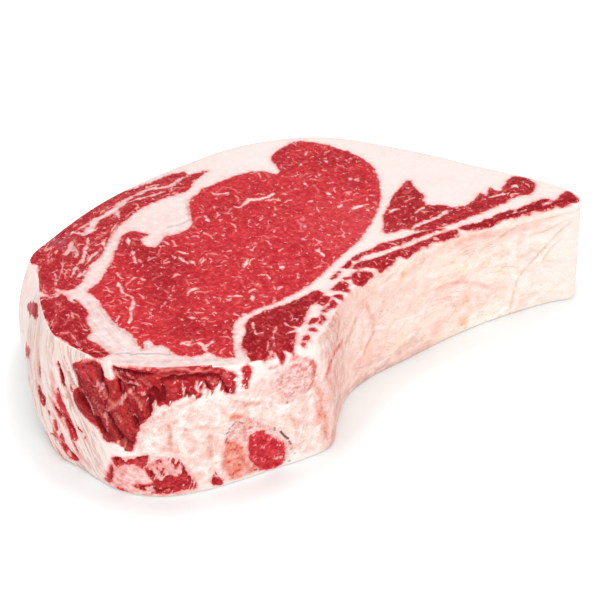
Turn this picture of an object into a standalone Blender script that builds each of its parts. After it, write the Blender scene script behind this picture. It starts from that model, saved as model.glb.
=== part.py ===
"""Raw bone-in rib steak: a thick crescent slab of lean and fat with a cut top face, and the rib bone that runs
along its hollow side from the sawn tail end to the sawn chine stub at the front.

Metres, +Z up. The steak rests on its flat lower cut face at z = 0. +X runs along the longest extent, towards the
thin tail end; -Y is the front, where the chine stub shows. The origin is the centre of the bounding box's base.
"""

import math

import bmesh
import bpy
from mathutils import Vector

MM = 0.001

# ---------------------------------------------------------------- sizes, in millimetres
TOP_HEIGHT = 54.6          # height of the cut top face over the middle of the slab
TOP_SLOPE_X = -0.022       # the two cuts are not quite parallel: the slab is thicker at the front left
TOP_SLOPE_Y = -0.062
FOOT_ROUND = 2.5           # softened lower edge
OUTLINE_STEPS = 140        # columns round the outline
WALL_LEVELS = 6            # rings between the two softened edges
ARC_STEPS = 3              # rings in each softened edge

BONE_GAP = 0.3             # clearance between the bone and the meat round it
RIB_DEPTH = 10.5           # rib centre line behind the hollow face
RIB_HALF_THICK = 6.2       # the rib's half thickness, across the slab
RIB_HALF_HIGH = 13.0       # the rib's half height
RIB_CENTRE_Z = 21.0
STUB_HALF = 13.2           # the sawn vertebra stub at the front is nearly round
STUB_CENTRE_Z = 15.8
BONE_SIDES = 24
BONE_STEPS = 28

# Outline of the slab seen from above, anticlockwise from the tail end. Each row: the top edge's x and y, how far
# the foot below it stands off in x and y, how far the wall swells between, and the top edge's softening.
OUTLINE = (
    (110.6, 35.2, 1.2, 0.0, 0.2, 1.2),
    (107.4, 41.0, 1.0, 0.8, 0.8, 1.8),
    (97.5, 48.0, 0.6, 0.8, 1.6, 2.4),
    (71.0, 59.6, -0.4, 0.4, 2.2, 3.4),
    (40.8, 72.4, 0.0, -0.6, 2.8, 4.2),
    (8.2, 80.0, 0.3, -1.4, 3.0, 4.5),
    (-24.4, 72.2, 0.6, -1.0, 3.2, 4.5),
    (-51.2, 53.4, 0.4, -0.2, 3.6, 4.0),
    (-76.1, 30.0, -1.0, 0.6, 4.4, 3.6),
    (-93.8, 3.6, -3.0, 0.4, 4.4, 2.4),
    (-101.0, -12.4, -3.2, -1.0, 4.4, 1.0),
    (-97.4, -23.0, -4.2, -1.4, 4.6, 1.6),
    (-94.6, -41.0, -2.8, -1.4, 4.4, 1.8),
    (-88.2, -59.0, -1.4, -0.6, 3.6, 2.4),
    (-80.2, -66.4, -0.6, 0.0, 2.4, 2.4),
    (-66.9, -74.3, -0.6, -3.0, 1.4, 2.0),
    (-51.0, -77.6, 0.0, -3.2, 1.0, 1.8),
    (-34.8, -76.4, 0.0, -1.6, 0.4, 2.0),
    (-21.0, -74.0, -0.6, 1.6, -0.4, 2.4),
    (-9.0, -69.8, -0.2, 3.4, -0.8, 3.6),
    (1.5, -63.8, 0.8, 2.6, -0.6, 5.0),
    (9.6, -55.6, 2.4, 1.4, 0.2, 5.6),
    (13.8, -43.5, 0.2, 0.8, 0.6, 4.0),
    (18.6, -31.2, -0.4, 3.6, 0.4, 2.6),
    (28.4, -17.2, -0.6, 1.2, 0.3, 2.0),
    (41.7, -5.6, 0.4, 0.2, 0.3, 1.8),
    (61.1, 8.2, 0.8, 0.8, 0.4, 1.6),
    (80.8, 19.4, 0.4, 0.8, 0.4, 1.4),
    (100.6, 28.8, 0.8, 0.4, 0.3, 1.2),
    (109.4, 31.6, 1.6, 0.6, 0.2, 1.2),
)

# ---------------------------------------------------------------- helpers


def top_height(x, y):
    """Height of the tilted upper cut over a point of the plan."""
    return TOP_HEIGHT + TOP_SLOPE_X * x + TOP_SLOPE_Y * y


def round_spline(rows, steps):
    """A closed curve through the rows, evenly spaced by the plan length of its first two numbers."""
    count = len(rows)

    def along(i, f):
        a, b, c, d = (rows[(i + k) % count] for k in (-1, 0, 1, 2))
        # Centripetal knots keep the curve from overshooting where the rows lie close together.
        knots = [0.0]
        for p, q in ((a, b), (b, c), (c, d)):
            knots.append(knots[-1] + max(math.hypot(q[0] - p[0], q[1] - p[1]), 1e-6) ** 0.5)
        t = knots[1] + f * (knots[2] - knots[1])
        out = []
        for k in range(len(b)):
            v = [a[k], b[k], c[k], d[k]]
            m = [
                v[j] + (v[j + 1] - v[j]) * (t - knots[j]) / (knots[j + 1] - knots[j])
                for j in range(3)
            ]
            n = [
                m[j] + (m[j + 1] - m[j]) * (t - knots[j]) / (knots[j + 2] - knots[j])
                for j in range(2)
            ]
            out.append(n[0] + (n[1] - n[0]) * (t - knots[1]) / (knots[2] - knots[1]))
        return out

    fine = [along(i, j / 24.0) for i in range(count) for j in range(24)]
    lengths = [0.0]
    for p, q in zip(fine, fine[1:] + fine[:1]):
        lengths.append(lengths[-1] + math.hypot(q[0] - p[0], q[1] - p[1]))
    result, at = [], 0
    for s in range(steps):
        want = lengths[-1] * s / steps
        while lengths[at + 1] < want:
            at += 1
        f = (want - lengths[at]) / max(lengths[at + 1] - lengths[at], 1e-9)
        p, q = fine[at], fine[(at + 1) % len(fine)]
        result.append([u + (w - u) * f for u, w in zip(p, q)])
    return result


def outward(points):
    """Unit normals that point out of an anticlockwise closed outline."""
    normals = []
    for i in range(len(points)):
        p, q = points[i - 1], points[(i + 1) % len(points)]
        dx, dy = q[0] - p[0], q[1] - p[1]
        size = math.hypot(dx, dy)
        normals.append((dy / size, -dx / size))
    return normals


def slab_rings():
    """Rings of points from the flat base up the wall to the cut top face."""
    rows = round_spline(OUTLINE, OUTLINE_STEPS)
    heads = [(r[0], r[1]) for r in rows]
    feet = [(r[0] + r[2], r[1] + r[3]) for r in rows]
    head_out, foot_out = outward(heads), outward(feet)
    columns = []
    for row, head, foot, hn, fn in zip(rows, heads, feet, head_out, foot_out):
        swell, soft = row[4], row[5]
        tall = top_height(*head)
        column = []
        for k in range(ARC_STEPS):
            a = math.pi / 2 * k / ARC_STEPS
            inset = FOOT_ROUND * (1 - math.sin(a))
            column.append((foot[0] - fn[0] * inset, foot[1] - fn[1] * inset, FOOT_ROUND * (1 - math.cos(a))))
        for k in range(WALL_LEVELS):
            f = k / (WALL_LEVELS - 1)
            z = FOOT_ROUND + (tall - soft - FOOT_ROUND) * f
            out = swell * 4 * f * (1 - f)
            x = foot[0] + (head[0] - foot[0]) * f
            y = foot[1] + (head[1] - foot[1]) * f
            nx, ny = fn[0] + (hn[0] - fn[0]) * f, fn[1] + (hn[1] - fn[1]) * f
            size = math.hypot(nx, ny)
            column.append((x + nx / size * out, y + ny / size * out, z))
        for k in range(1, ARC_STEPS + 1):
            a = math.pi / 2 * k / ARC_STEPS
            inset = soft * (1 - math.cos(a))
            x, y = head[0] - hn[0] * inset, head[1] - hn[1] * inset
            column.append((x, y, top_height(x, y) - soft * (1 - math.sin(a))))
        columns.append(column)
    return [list(ring) for ring in zip(*columns)]


def base_centre(rings):
    """Middle of the slab's box in plan."""
    xs = [p[0] for ring in rings for p in ring]
    ys = [p[1] for ring in rings for p in ring]
    return (min(xs) + max(xs)) / 2, (min(ys) + max(ys)) / 2


def lofted(name, rings, centre):
    """A closed mesh object through the rings, capped with one flat face at each end."""
    bm = bmesh.new()
    levels = [
        [bm.verts.new(((x - centre[0]) * MM, (y - centre[1]) * MM, z * MM)) for x, y, z in ring]
        for ring in rings
    ]
    for low, high in zip(levels, levels[1:]):
        for i in range(len(low)):
            j = (i + 1) % len(low)
            bm.faces.new((low[i], low[j], high[j], high[i]))
    bm.faces.new(list(reversed(levels[0])))
    bm.faces.new(levels[-1])
    bmesh.ops.recalc_face_normals(bm, faces=bm.faces)
    mesh = bpy.data.meshes.new(name)
    bm.to_mesh(mesh)
    bm.free()
    return bpy.data.objects.new(name, mesh)


def bone_path():
    """Centre line of the rib and stub: plan position, height, half thickness across and half height."""
    stations = [
        # a point of the hollow face, how deep the centre line lies behind it, height, half thickness, half height
        (118.0, 36.6, 8.6, RIB_CENTRE_Z + 2.0, 4.6, 10.5),
        (100.6, 28.8, 9.4, RIB_CENTRE_Z + 1.0, 5.4, 12.0),
        (80.8, 19.4, RIB_DEPTH, RIB_CENTRE_Z, RIB_HALF_THICK, RIB_HALF_HIGH),
        (61.1, 8.2, RIB_DEPTH, RIB_CENTRE_Z, RIB_HALF_THICK, RIB_HALF_HIGH),
        (41.7, -5.6, RIB_DEPTH, RIB_CENTRE_Z, RIB_HALF_THICK, RIB_HALF_HIGH),
        (28.4, -17.2, RIB_DEPTH + 0.5, RIB_CENTRE_Z, 6.6, 12.8),
        (18.6, -31.2, 12.5, 19.5, 8.0, 12.6),
        (13.0, -43.5, 15.5, 17.5, 10.5, 12.8),
    ]
    points = []
    for i, (x, y, deep, z, thick, high) in enumerate(stations):
        a = stations[max(i - 1, 0)]
        b = stations[min(i + 1, len(stations) - 1)]
        dx, dy = b[0] - a[0], b[1] - a[1]
        size = math.hypot(dx, dy)
        # behind the hollow face is to the right of the run from tail to chine
        points.append((x + dy / size * deep, y - dx / size * deep, z, thick, high))
    points.append((-9.5, -58.0, STUB_CENTRE_Z, STUB_HALF, STUB_HALF - 0.6))
    points.append((-15.0, -80.0, STUB_CENTRE_Z - 1.2, STUB_HALF, STUB_HALF - 1.2))
    return points


def eased(points, steps):
    """Catmull-Rom run through the stations."""
    last = len(points) - 1
    out = []
    for s in range(steps + 1):
        t = last * s / steps
        i = min(int(t), last - 1)
        f = t - i
        p = [points[max(0, min(last, i + k))] for k in (-1, 0, 1, 2)]
        out.append(
            [
                0.5
                * (
                    2 * b
                    + (c - a) * f
                    + (2 * a - 5 * b + 4 * c - d) * f * f
                    + (3 * b - a - 3 * c + d) * f**3
                )
                for a, b, c, d in zip(*p)
            ]
        )
    return out


def tube_rings(run, grow):
    """Oval rings across the run; grow widens every section by the same clearance."""
    rings = []
    for i, (x, y, z, thick, high) in enumerate(run):
        a, b = run[max(i - 1, 0)], run[min(i + 1, len(run) - 1)]
        ahead = Vector((b[0] - a[0], b[1] - a[1], b[2] - a[2])).normalized()
        across = Vector((ahead.y, -ahead.x, 0.0)).normalized()
        up = across.cross(ahead).normalized()
        if up.z < 0:
            up = -up
        ring = []
        for k in range(BONE_SIDES):
            u = 2 * math.pi * k / BONE_SIDES
            c, s = math.cos(u), math.sin(u)
            # a rib's section is flatter than an ellipse on its two broad sides
            c = math.copysign(abs(c) ** 0.86, c)
            s = math.copysign(abs(s) ** 0.92, s)
            p = Vector((x, y, z)) + across * (c * (thick + grow)) + up * (s * (high + grow))
            ring.append(tuple(p))
        rings.append(ring)
    return rings


def knob_rings(grow):
    """The rib's neck: a short oval arm that rises from the stub to the facet at the front right corner."""
    foot, head = Vector((-1.0, -49.0, 20.0)), Vector((4.5, -63.0, 56.0))
    run = []
    for i in range(5):
        f = i / 4
        p = foot.lerp(head, f)
        run.append((p.x, p.y, p.z, 9.4 - 1.4 * f, 8.8 - 0.8 * f))
    rings = []
    ahead = (head - foot).normalized()
    across = ahead.cross(Vector((0.0, 0.0, 1.0))).normalized()
    up = across.cross(ahead).normalized()
    for x, y, z, wide, deep in run:
        rings.append(
            [
                tuple(
                    Vector((x, y, z))
                    + across * (math.cos(2 * math.pi * k / BONE_SIDES) * (wide + grow))
                    + up * (math.sin(2 * math.pi * k / BONE_SIDES) * (deep + grow))
                )
                for k in range(BONE_SIDES)
            ]
        )
    return rings


def material(name, colour, roughness):
    made = bpy.data.materials.new(name)
    made.use_nodes = True
    shader = made.node_tree.nodes["Principled BSDF"]
    shader.inputs["Base Color"].default_value = (*colour, 1.0)
    shader.inputs["Roughness"].default_value = roughness
    shader.inputs["Metallic"].default_value = 0.0
    made.diffuse_color = (*colour, 1.0)
    return made


def boolean(obj, other, operation):
    cut = obj.modifiers.new(operation.title(), "BOOLEAN")
    cut.operation = operation
    cut.solver = "EXACT"
    cut.object = other


def smooth(obj, angle):
    """Smooth shading with creases kept where two faces meet at more than the angle."""
    for face in obj.data.polygons:
        face.use_smooth = True
    for edge in obj.data.edges:
        edge.use_edge_sharp = False
    obj.data.set_sharp_from_angle(angle=angle)


# ---------------------------------------------------------------- the object

for old in list(bpy.data.objects):
    bpy.data.objects.remove(old, do_unlink=True)

steak = bpy.data.collections.new("raw_rib_steak")
tools = bpy.data.collections.new("cutters")
bpy.context.scene.collection.children.link(steak)
bpy.context.scene.collection.children.link(tools)

rings = slab_rings()
centre = base_centre(rings)

# Lean and fat in one piece: the slab between the two cuts.
meat = lofted("meat", rings, centre)
steak.objects.link(meat)

# The bone is trimmed flush with the slab's skin at its sawn ends, and the meat is cut open for it.
skin = lofted("skin_trim", rings, centre)
run = eased(bone_path(), BONE_STEPS)
bone = lofted("rib_bone", tube_rings(run, 0.0), centre)
steak.objects.link(bone)
neck = lofted("neck_arm", knob_rings(0.0), centre)
run_space = lofted("rib_space", tube_rings(run, BONE_GAP), centre)
neck_space = lofted("neck_space", knob_rings(BONE_GAP), centre)
for helper in (skin, neck, run_space, neck_space):
    tools.objects.link(helper)
    helper.hide_render = True
    helper.display_type = "WIRE"

boolean(bone, neck, "UNION")
boolean(bone, skin, "INTERSECT")
boolean(meat, run_space, "DIFFERENCE")
boolean(meat, neck_space, "DIFFERENCE")

for piece in (meat, bone, skin, neck, run_space, neck_space):
    smooth(piece, math.radians(38))

meat.data.materials.append(material("raw_meat", (0.52, 0.045, 0.052), 0.42))
bone.data.materials.append(material("raw_bone", (0.80, 0.62, 0.50), 0.55))
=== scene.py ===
"""Visual model of a raw bone-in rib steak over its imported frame: one closed, finely divided skin of lean and fat, and
the bone, with the stage, the lights and the camera of a plain studio view.

Lengths in the tables are millimetres in the slab's own frame: x to the right, y to the back, z up. Places on the wall
are (u, z), where u runs anticlockwise along the top edge from the thin tail end.
"""

import math

import bpy
import numpy as np
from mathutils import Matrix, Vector, geometry, kdtree


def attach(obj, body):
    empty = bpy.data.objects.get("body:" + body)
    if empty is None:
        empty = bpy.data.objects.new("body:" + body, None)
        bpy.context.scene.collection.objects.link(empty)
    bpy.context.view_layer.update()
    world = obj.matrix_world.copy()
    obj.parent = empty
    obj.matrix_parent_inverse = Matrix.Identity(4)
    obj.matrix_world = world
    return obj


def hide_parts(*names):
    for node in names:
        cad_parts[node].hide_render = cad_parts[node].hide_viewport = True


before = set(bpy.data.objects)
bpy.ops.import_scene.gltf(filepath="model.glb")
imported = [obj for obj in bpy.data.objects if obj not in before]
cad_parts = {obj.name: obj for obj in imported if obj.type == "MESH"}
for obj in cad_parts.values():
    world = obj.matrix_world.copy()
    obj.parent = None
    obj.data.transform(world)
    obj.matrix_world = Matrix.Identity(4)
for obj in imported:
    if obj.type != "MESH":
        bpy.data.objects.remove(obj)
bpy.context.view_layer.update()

MM = 0.001

# ---------------------------------------------------------------- the slab, as in the frame
SHIFT_X, SHIFT_Y = 2.36, 0.7485    # middle of the slab's box in plan
TOP_HEIGHT = 54.6
TOP_SLOPE_X = -0.022
TOP_SLOPE_Y = -0.062
FOOT_ROUND = 2.5

# Each row: the top edge's x and y, how far the foot stands off in x and y, the wall's swell, the edge's softening.
OUTLINE = (
    (110.6, 35.2, 1.2, 0.0, 0.2, 1.2),
    (107.4, 41.0, 1.0, 0.8, 0.8, 1.8),
    (97.5, 48.0, 0.6, 0.8, 1.6, 2.4),
    (71.0, 59.6, -0.4, 0.4, 2.2, 3.4),
    (40.8, 72.4, 0.0, -0.6, 2.8, 4.2),
    (8.2, 80.0, 0.3, -1.4, 3.0, 4.5),
    (-24.4, 72.2, 0.6, -1.0, 3.2, 4.5),
    (-51.2, 53.4, 0.4, -0.2, 3.6, 4.0),
    (-76.1, 30.0, -1.0, 0.6, 4.4, 3.6),
    (-93.8, 3.6, -3.0, 0.4, 4.4, 2.4),
    (-101.0, -12.4, -3.2, -1.0, 4.4, 1.0),
    (-97.4, -23.0, -4.2, -1.4, 4.6, 1.6),
    (-94.6, -41.0, -2.8, -1.4, 4.4, 1.8),
    (-88.2, -59.0, -1.4, -0.6, 3.6, 2.4),
    (-80.2, -66.4, -0.6, 0.0, 2.4, 2.4),
    (-66.9, -74.3, -0.6, -3.0, 1.4, 2.0),
    (-51.0, -77.6, 0.0, -3.2, 1.0, 1.8),
    (-34.8, -76.4, 0.0, -1.6, 0.4, 2.0),
    (-21.0, -74.0, -0.6, 1.6, -0.4, 2.4),
    (-9.0, -69.8, -0.2, 3.4, -0.8, 3.6),
    (1.5, -63.8, 0.8, 2.6, -0.6, 5.0),
    (9.6, -55.6, 2.4, 1.4, 0.2, 5.6),
    (13.8, -43.5, 0.2, 0.8, 0.6, 4.0),
    (18.6, -31.2, -0.4, 3.6, 0.4, 2.6),
    (28.4, -17.2, -0.6, 1.2, 0.3, 2.0),
    (41.7, -5.6, 0.4, 0.2, 0.3, 1.8),
    (61.1, 8.2, 0.8, 0.8, 0.4, 1.6),
    (80.8, 19.4, 0.4, 0.8, 0.4, 1.4),
    (100.6, 28.8, 0.8, 0.4, 0.3, 1.2),
    (109.4, 31.6, 1.6, 0.6, 0.2, 1.2),
)

# Column spacing of the wall from one place of the top edge to the next, as (up to u, spacing).
COLUMN_STEPS = ((283.0, 1.6), (425.0, 0.66), (1e9, 0.92))
FOOT_ROWS, WALL_ROWS, HEAD_ROWS = 4, 62, 6
TOP_LATTICE, BASE_LATTICE = 0.86, 1.75

# ---------------------------------------------------------------- what lies where
# Outlines of the lean on the cut top face, in plan.
TOP_LEAN = {
    "cap": (
        (-100.9, -12.1), (-100, -9), (-98.5, -5.6), (-96, -3.5), (-94.6, 0.6), (-92.2, 4.9), (-90.4, 8), (-87.9,
        11.9), (-84.4, 17.2), (-81.1, 22), (-77.5, 26.4), (-73.9, 30.6), (-70.3, 34.5), (-66.7, 35.3), (-62.9,
        37.4), (-59.2, 40.3), (-55.4, 43.7), (-51.6, 46.4), (-47.7, 48), (-45.2, 48.4), (-44.5, 46.6), (-39.8,
        48.2), (-36.7, 50.2), (-37.4, 48.3), (-40, 44.9), (-41.9, 42.3), (-43.3, 37.3), (-45.9, 34.3), (-48.9,
        32.8), (-52.7, 29.9), (-56.4, 27), (-60.1, 24), (-63, 20.5), (-65.4, 16.3), (-67.9, 12.8), (-69.8, 8),
        (-71.6, 5.9), (-72.4, 1.9), (-73.2, -2.1), (-73.7, -6), (-74.5, -10.3), (-77.1, -13.9), (-78.7, -17.2),
        (-79.1, -21), (-79.9, -24.8), (-80.4, -27.3), (-82.4, -30.5), (-84, -32.4), (-87, -31.8), (-87.6, -32.8),
        (-91, -35), (-92.9, -34.5), (-95, -31.9), (-96.1, -28.2), (-96.6, -24.2), (-96.6, -20.2), (-97.4, -16.1),
        (-100.6, -15.1),
    ),
    "lobe": (
        (-94.5, -37.2), (-92, -36.3), (-87.4, -34.9), (-85.2, -35.5), (-83.6, -37.3), (-80.4, -39.6), (-78, -42.6),
        (-76.6, -46.1), (-77.8, -49.8), (-75.7, -53.2), (-74.7, -56.2), (-75.2, -59.1), (-76.5, -60.6), (-74.1,
        -63.1), (-71.2, -64.8), (-69.2, -67), (-67.3, -68.9), (-68.9, -70.7), (-71.4, -71.1), (-73.6, -69.3),
        (-77.3, -66.9), (-79.5, -65.2), (-82, -62.3), (-85.1, -59.6), (-87, -58.4), (-88.9, -57.8), (-89, -55.4),
        (-89.4, -51.3), (-91.5, -48), (-93.4, -43.9),
    ),
    "eye": (
        (-77.7, -33.4), (-76.9, -30.3), (-74.8, -28.4), (-73.6, -25.9), (-72.4, -22.7), (-71.6, -18.9), (-70.4,
        -15), (-69.5, -11.1), (-69.4, -7.2), (-68.9, -4.6), (-68, -1.3), (-67.5, 2.1), (-66.2, 5.4), (-64.8, 6.8),
        (-62.1, 6.9), (-60.5, 5.6), (-57.4, 4.7), (-60.7, 2.9), (-60.1, -0.7), (-57.7, -3.9), (-53.9, -4.1), (-52.9,
        -0.8), (-52.3, 1.2), (-50.9, 3.2), (-48.3, 4.6), (-45.7, 5.4), (-43.5, 8.1), (-41.7, 10.2), (-41.1, 13.6),
        (-42, 17.7), (-42.7, 23.2), (-43.2, 26.7), (-42.2, 30.2), (-40, 33.1), (-37.8, 37.5), (-35.5, 39), (-32.4,
        41.2), (-28.5, 44.2), (-25.4, 46.5), (-21.9, 48.4), (-17.9, 50), (-14.4, 50.5), (-9.9, 48.1), (-7.6, 50),
        (-9.6, 55.1), (-11.7, 60.2), (-10.1, 64.8), (-5.7, 69.5), (-1.6, 73.5), (4.1, 72.9), (11, 70.8), (18.2,
        66.5), (24.6, 61.8), (29.3, 54.9), (31.4, 45.4), (31.6, 34.7), (30.8, 26.9), (28.2, 18.5), (25.7, 10.9),
        (22.8, 3.8), (18.9, -1.6), (15, -7.6), (11.2, -13.6), (7.4, -20), (3.3, -26.1), (-0.7, -30), (-4.7, -34.1),
        (-10.2, -38.2), (-13.8, -40.2), (-16.8, -42.1), (-19.1, -44.8), (-21.6, -46.4), (-23.3, -48.5), (-23.8,
        -53), (-23.8, -60), (-23.6, -65.8), (-22.4, -69.7), (-25.2, -70.1), (-28, -69.9), (-31.6, -67.7), (-32.9,
        -66), (-34, -68.9), (-37.2, -69.8), (-40.7, -69.6), (-42, -70.3), (-44.2, -68.6), (-45.4, -66.4), (-47.3,
        -64.1), (-49.4, -63), (-51.1, -64.2), (-52.3, -61.9), (-54.2, -60.8), (-55.5, -62), (-55, -66.6), (-57.2,
        -63.2), (-58.1, -59.8), (-60.4, -56.9), (-63.5, -54.1), (-66.2, -51.2), (-68.6, -47.7), (-70.4, -43.6),
        (-72.5, -39.4), (-74.2, -36.1),
    ),
    "dark": (
        (-19, -48.7), (-17.3, -46.9), (-15.5, -45), (-13.4, -42.9), (-10.9, -41.9), (-8.3, -40.3), (-5.8, -38.7),
        (-3.6, -37.1), (-1.5, -35.3), (0.7, -34.3), (2.2, -32.4), (4, -30.2), (5.9, -29.4), (7.3, -29.8), (8.4,
        -31.3), (8, -33.4), (6.6, -35.9), (4.7, -37.8), (3.3, -40.3), (2.5, -43.3), (1.8, -46.4), (1.4, -49.3), (0,
        -51.2), (-1.4, -52.4), (-1.1, -56.5), (-1.8, -60), (-2.5, -62.7), (-1.8, -63.9), (-2.9, -66), (-4.2, -66.9),
        (-5.5, -68), (-7.4, -69), (-8.9, -69.6), (-10.2, -70.1), (-11.7, -70.9), (-13.2, -71.5), (-15, -72.1),
        (-16.8, -71.9), (-17.9, -70.7), (-18.6, -68.5), (-19, -65.9), (-20.5, -64), (-20.6, -60.5), (-19.9, -57.6),
        (-19.3, -54.1), (-19.2, -51.1),
    ),
    "i1": (
        (7.7, -34.1), (9.1, -32.5), (11, -33.4), (10.9, -35.2), (9.8, -37.1), (9.1, -38.9), (7.3, -38.1), (5.8,
        -37.8), (6.9, -35.9),
    ),
    "i2": (
        (11.3, -35.8), (12, -34.9), (13.6, -36.8), (12.7, -39.3), (10.8, -40.6), (10.1, -42.6), (8, -42.6), (7.6,
        -41.7), (9.4, -40.4), (10.5, -38.3),
    ),
    "i3": (
        (4.7, -46.3), (6.8, -45.9), (6.5, -48), (5, -49.8), (3.2, -51.4), (2.9, -49.6), (4, -47.2),
    ),
    "i4": (
        (7.2, -43.5), (8.7, -44.7), (9.8, -46.2), (9.1, -48), (7.1, -50.1), (6.5, -49.5), (7.6, -46.8),
    ),
    "i5": (
        (3.2, -52.8), (4.7, -51.9), (6.2, -53.3), (4.9, -54.4), (3.2, -54),
    ),
    "i6": (
        (1.4, -56.7), (3.3, -55.8), (3.2, -58.9), (1, -60.9), (0.3, -60.7), (1.3, -58.5),
    ),
    "p1": (
        (11.5, -22.5), (12.2, -19.6), (13.4, -18), (14.9, -17), (15.2, -17.9), (14.1, -20.2), (12.6, -21.8),
    ),
    "p2": (
        (15.3, -15), (16.4, -13.4), (18, -11.4), (19.1, -9.5), (19.5, -11.1), (19, -13.6), (17.9, -15.3), (16.4,
        -15.6),
    ),
    "p3": (
        (19.1, -9.5), (19.9, -8.1), (21.5, -6.1), (23.4, -5.1), (25.7, -3.1), (28.4, -1.3), (30.3, 0.7), (32.7,
        2.4), (35, 3.2), (37.3, 4.2), (39.6, 5.3), (42.8, 7.4), (45.2, 8.8), (47.5, 10.4), (50.6, 11.2), (53.8, 12),
        (56.1, 12.7), (56, 11.5), (53.7, 10.8), (50.5, 9.3), (47.4, 6.9), (44.2, 5.4), (42.2, 3.7), (40.3, 2),
        (37.2, 0.2), (35.2, -0.8), (32.5, -2.9), (30.2, -3.6), (27.9, -4.6), (25.6, -5.4), (23.3, -7.7), (21.8,
        -9.4), (19.9, -10.7),
    ),
    "s3": (
        (19.8, -14.6), (20.9, -12.6), (22.5, -11), (24.7, -9.9), (27, -9.2), (28.6, -8.2), (30.9, -6.8), (33.2,
        -5.5), (35.5, -3.8), (37.8, -2.7), (40.9, -1), (43.3, 0.8), (44.8, 2.5), (47.2, 4.2), (49.6, 5.6), (52.7,
        7.7), (55.9, 9.2), (58.3, 10.9), (60.3, 11.7), (60.5, 9.3), (59.7, 7.9), (57.3, 6.1), (55.3, 4.7), (52.5,
        3.8), (50.2, 3.3), (48.6, 0.7), (47.5, -0.1), (45.5, -0.5), (44.6, -2.2), (43.8, -3.5), (41.9, -5.3), (39.5,
        -6.8), (37.2, -7.3), (36.1, -7.3), (36, -9.6), (35.2, -10.5), (34.5, -11.4), (33.4, -12.3), (32.1, -13.4),
        (30.5, -14.8), (29.8, -15.4), (28.7, -15), (26.9, -14.7), (24.6, -14.4), (22.4, -14.8), (20.1, -15.2),
    ),
    "s8": (
        (19.3, -20.3), (19.7, -18.1), (21.6, -17.1), (23.8, -17.3), (25.7, -17), (27.1, -17.5), (28.2, -17.4),
        (27.1, -18.7), (26.3, -19.6), (25.3, -20), (24, -21.4), (23.3, -22.9), (22.1, -24.7), (21, -25.4), (19.9,
        -24.1), (19.2, -22.2),
    ),
    "s9": (
        (15.9, -22), (17, -20.7), (18.9, -20.2), (18.9, -21.7), (17.4, -22.1),
    ),
    "s10": (
        (11.2, -28.7), (12.1, -27.1), (13.3, -25.2), (14.8, -23.6), (16.6, -23.4), (17.7, -24.8), (17.5, -26.7),
        (16.9, -28.2), (18.4, -28.8), (18.7, -29.3), (18.2, -30.1), (16.1, -30.1), (14.3, -29.3), (12.5, -29.9),
    ),
    "s11": (
        (12.1, -32.4), (13.9, -31.7), (15.4, -31.4), (15.8, -33), (16.3, -34.5), (15, -35.5), (14.2, -34.2), (12.4,
        -33.3),
    ),
    "tail": (
        (32.3, 20), (33.8, 24.2), (34.5, 27.7), (35.7, 32), (36.9, 34.8), (38.7, 38.5), (40.4, 41.4), (41.6, 43.6),
        (42.3, 45.1), (44.1, 45.1), (44.4, 43), (45.1, 40.5), (46.5, 38), (48.4, 35.6), (48.7, 33.1), (47.8, 31.7),
        (48.9, 29.2), (48.4, 27.5), (51.1, 27.7), (53.9, 28), (57, 27.7), (59.2, 26.4), (61.7, 27.5), (63.6, 26.9),
        (66.5, 29.8), (68.7, 32.7), (70, 35.2), (71, 37.4), (72.5, 36.3), (73.5, 34.9), (74.7, 39.6), (75.2, 41.8),
        (76.7, 39.7), (78.2, 38.7), (80.3, 40.2), (81, 43.8), (82.3, 45.6), (83.3, 47.8), (85, 49.7), (87.5, 49.7),
        (90.2, 48.8), (91.6, 47), (93.5, 45.6), (93.2, 42.4), (92, 38), (89.9, 36.9), (86.6, 35.7), (83.3, 33.8),
        (81.6, 32.4), (79.5, 30.2), (77, 28.7), (74, 25.8), (70.7, 23.3), (67.5, 21.8), (64.2, 19.3), (61, 16.8),
        (57.8, 15), (55, 13.2), (51.4, 11.4), (47.5, 10.2), (43.7, 9.8), (42.6, 11.1), (39.9, 11.4), (36.7, 9.2),
        (34.4, 8.8), (32.1, 8.1), (31.8, 11.1), (32.5, 14.5),
    ),
    "s456": (
        (60.7, 12.3), (62.8, 14.4), (65.5, 15.6), (68.3, 16), (71.1, 18.5), (74.4, 20.6), (77.7, 23.1), (81, 25.3),
        (84.2, 26.1), (87.5, 28.3), (90.9, 30.9), (93.4, 32.7), (96.3, 34), (98.2, 33.6), (96.4, 31.4), (94.7,
        29.6), (95.3, 27.4), (92.8, 26.1), (89.5, 24.3), (86.3, 22.7), (82.2, 20.8), (78.6, 19.2), (75.7, 17),
        (72.5, 15), (69.2, 13.2), (66, 11.7), (62.9, 11.4),
    ),
    "s7": (
        (91.4, 25.2), (93.0, 27.6), (97.0, 30.3), (100.0, 32.6), (101.9, 34.8), (102.9, 36.9), (104.7, 39.1),
        (106.4, 39.6), (107.8, 38.3), (108.7, 35.7), (109.6, 33.4), (109.5, 32), (106.7, 31.5), (104.2, 30.3), (101,
        29.1), (98.4, 27.9),
    ),
}

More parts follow.
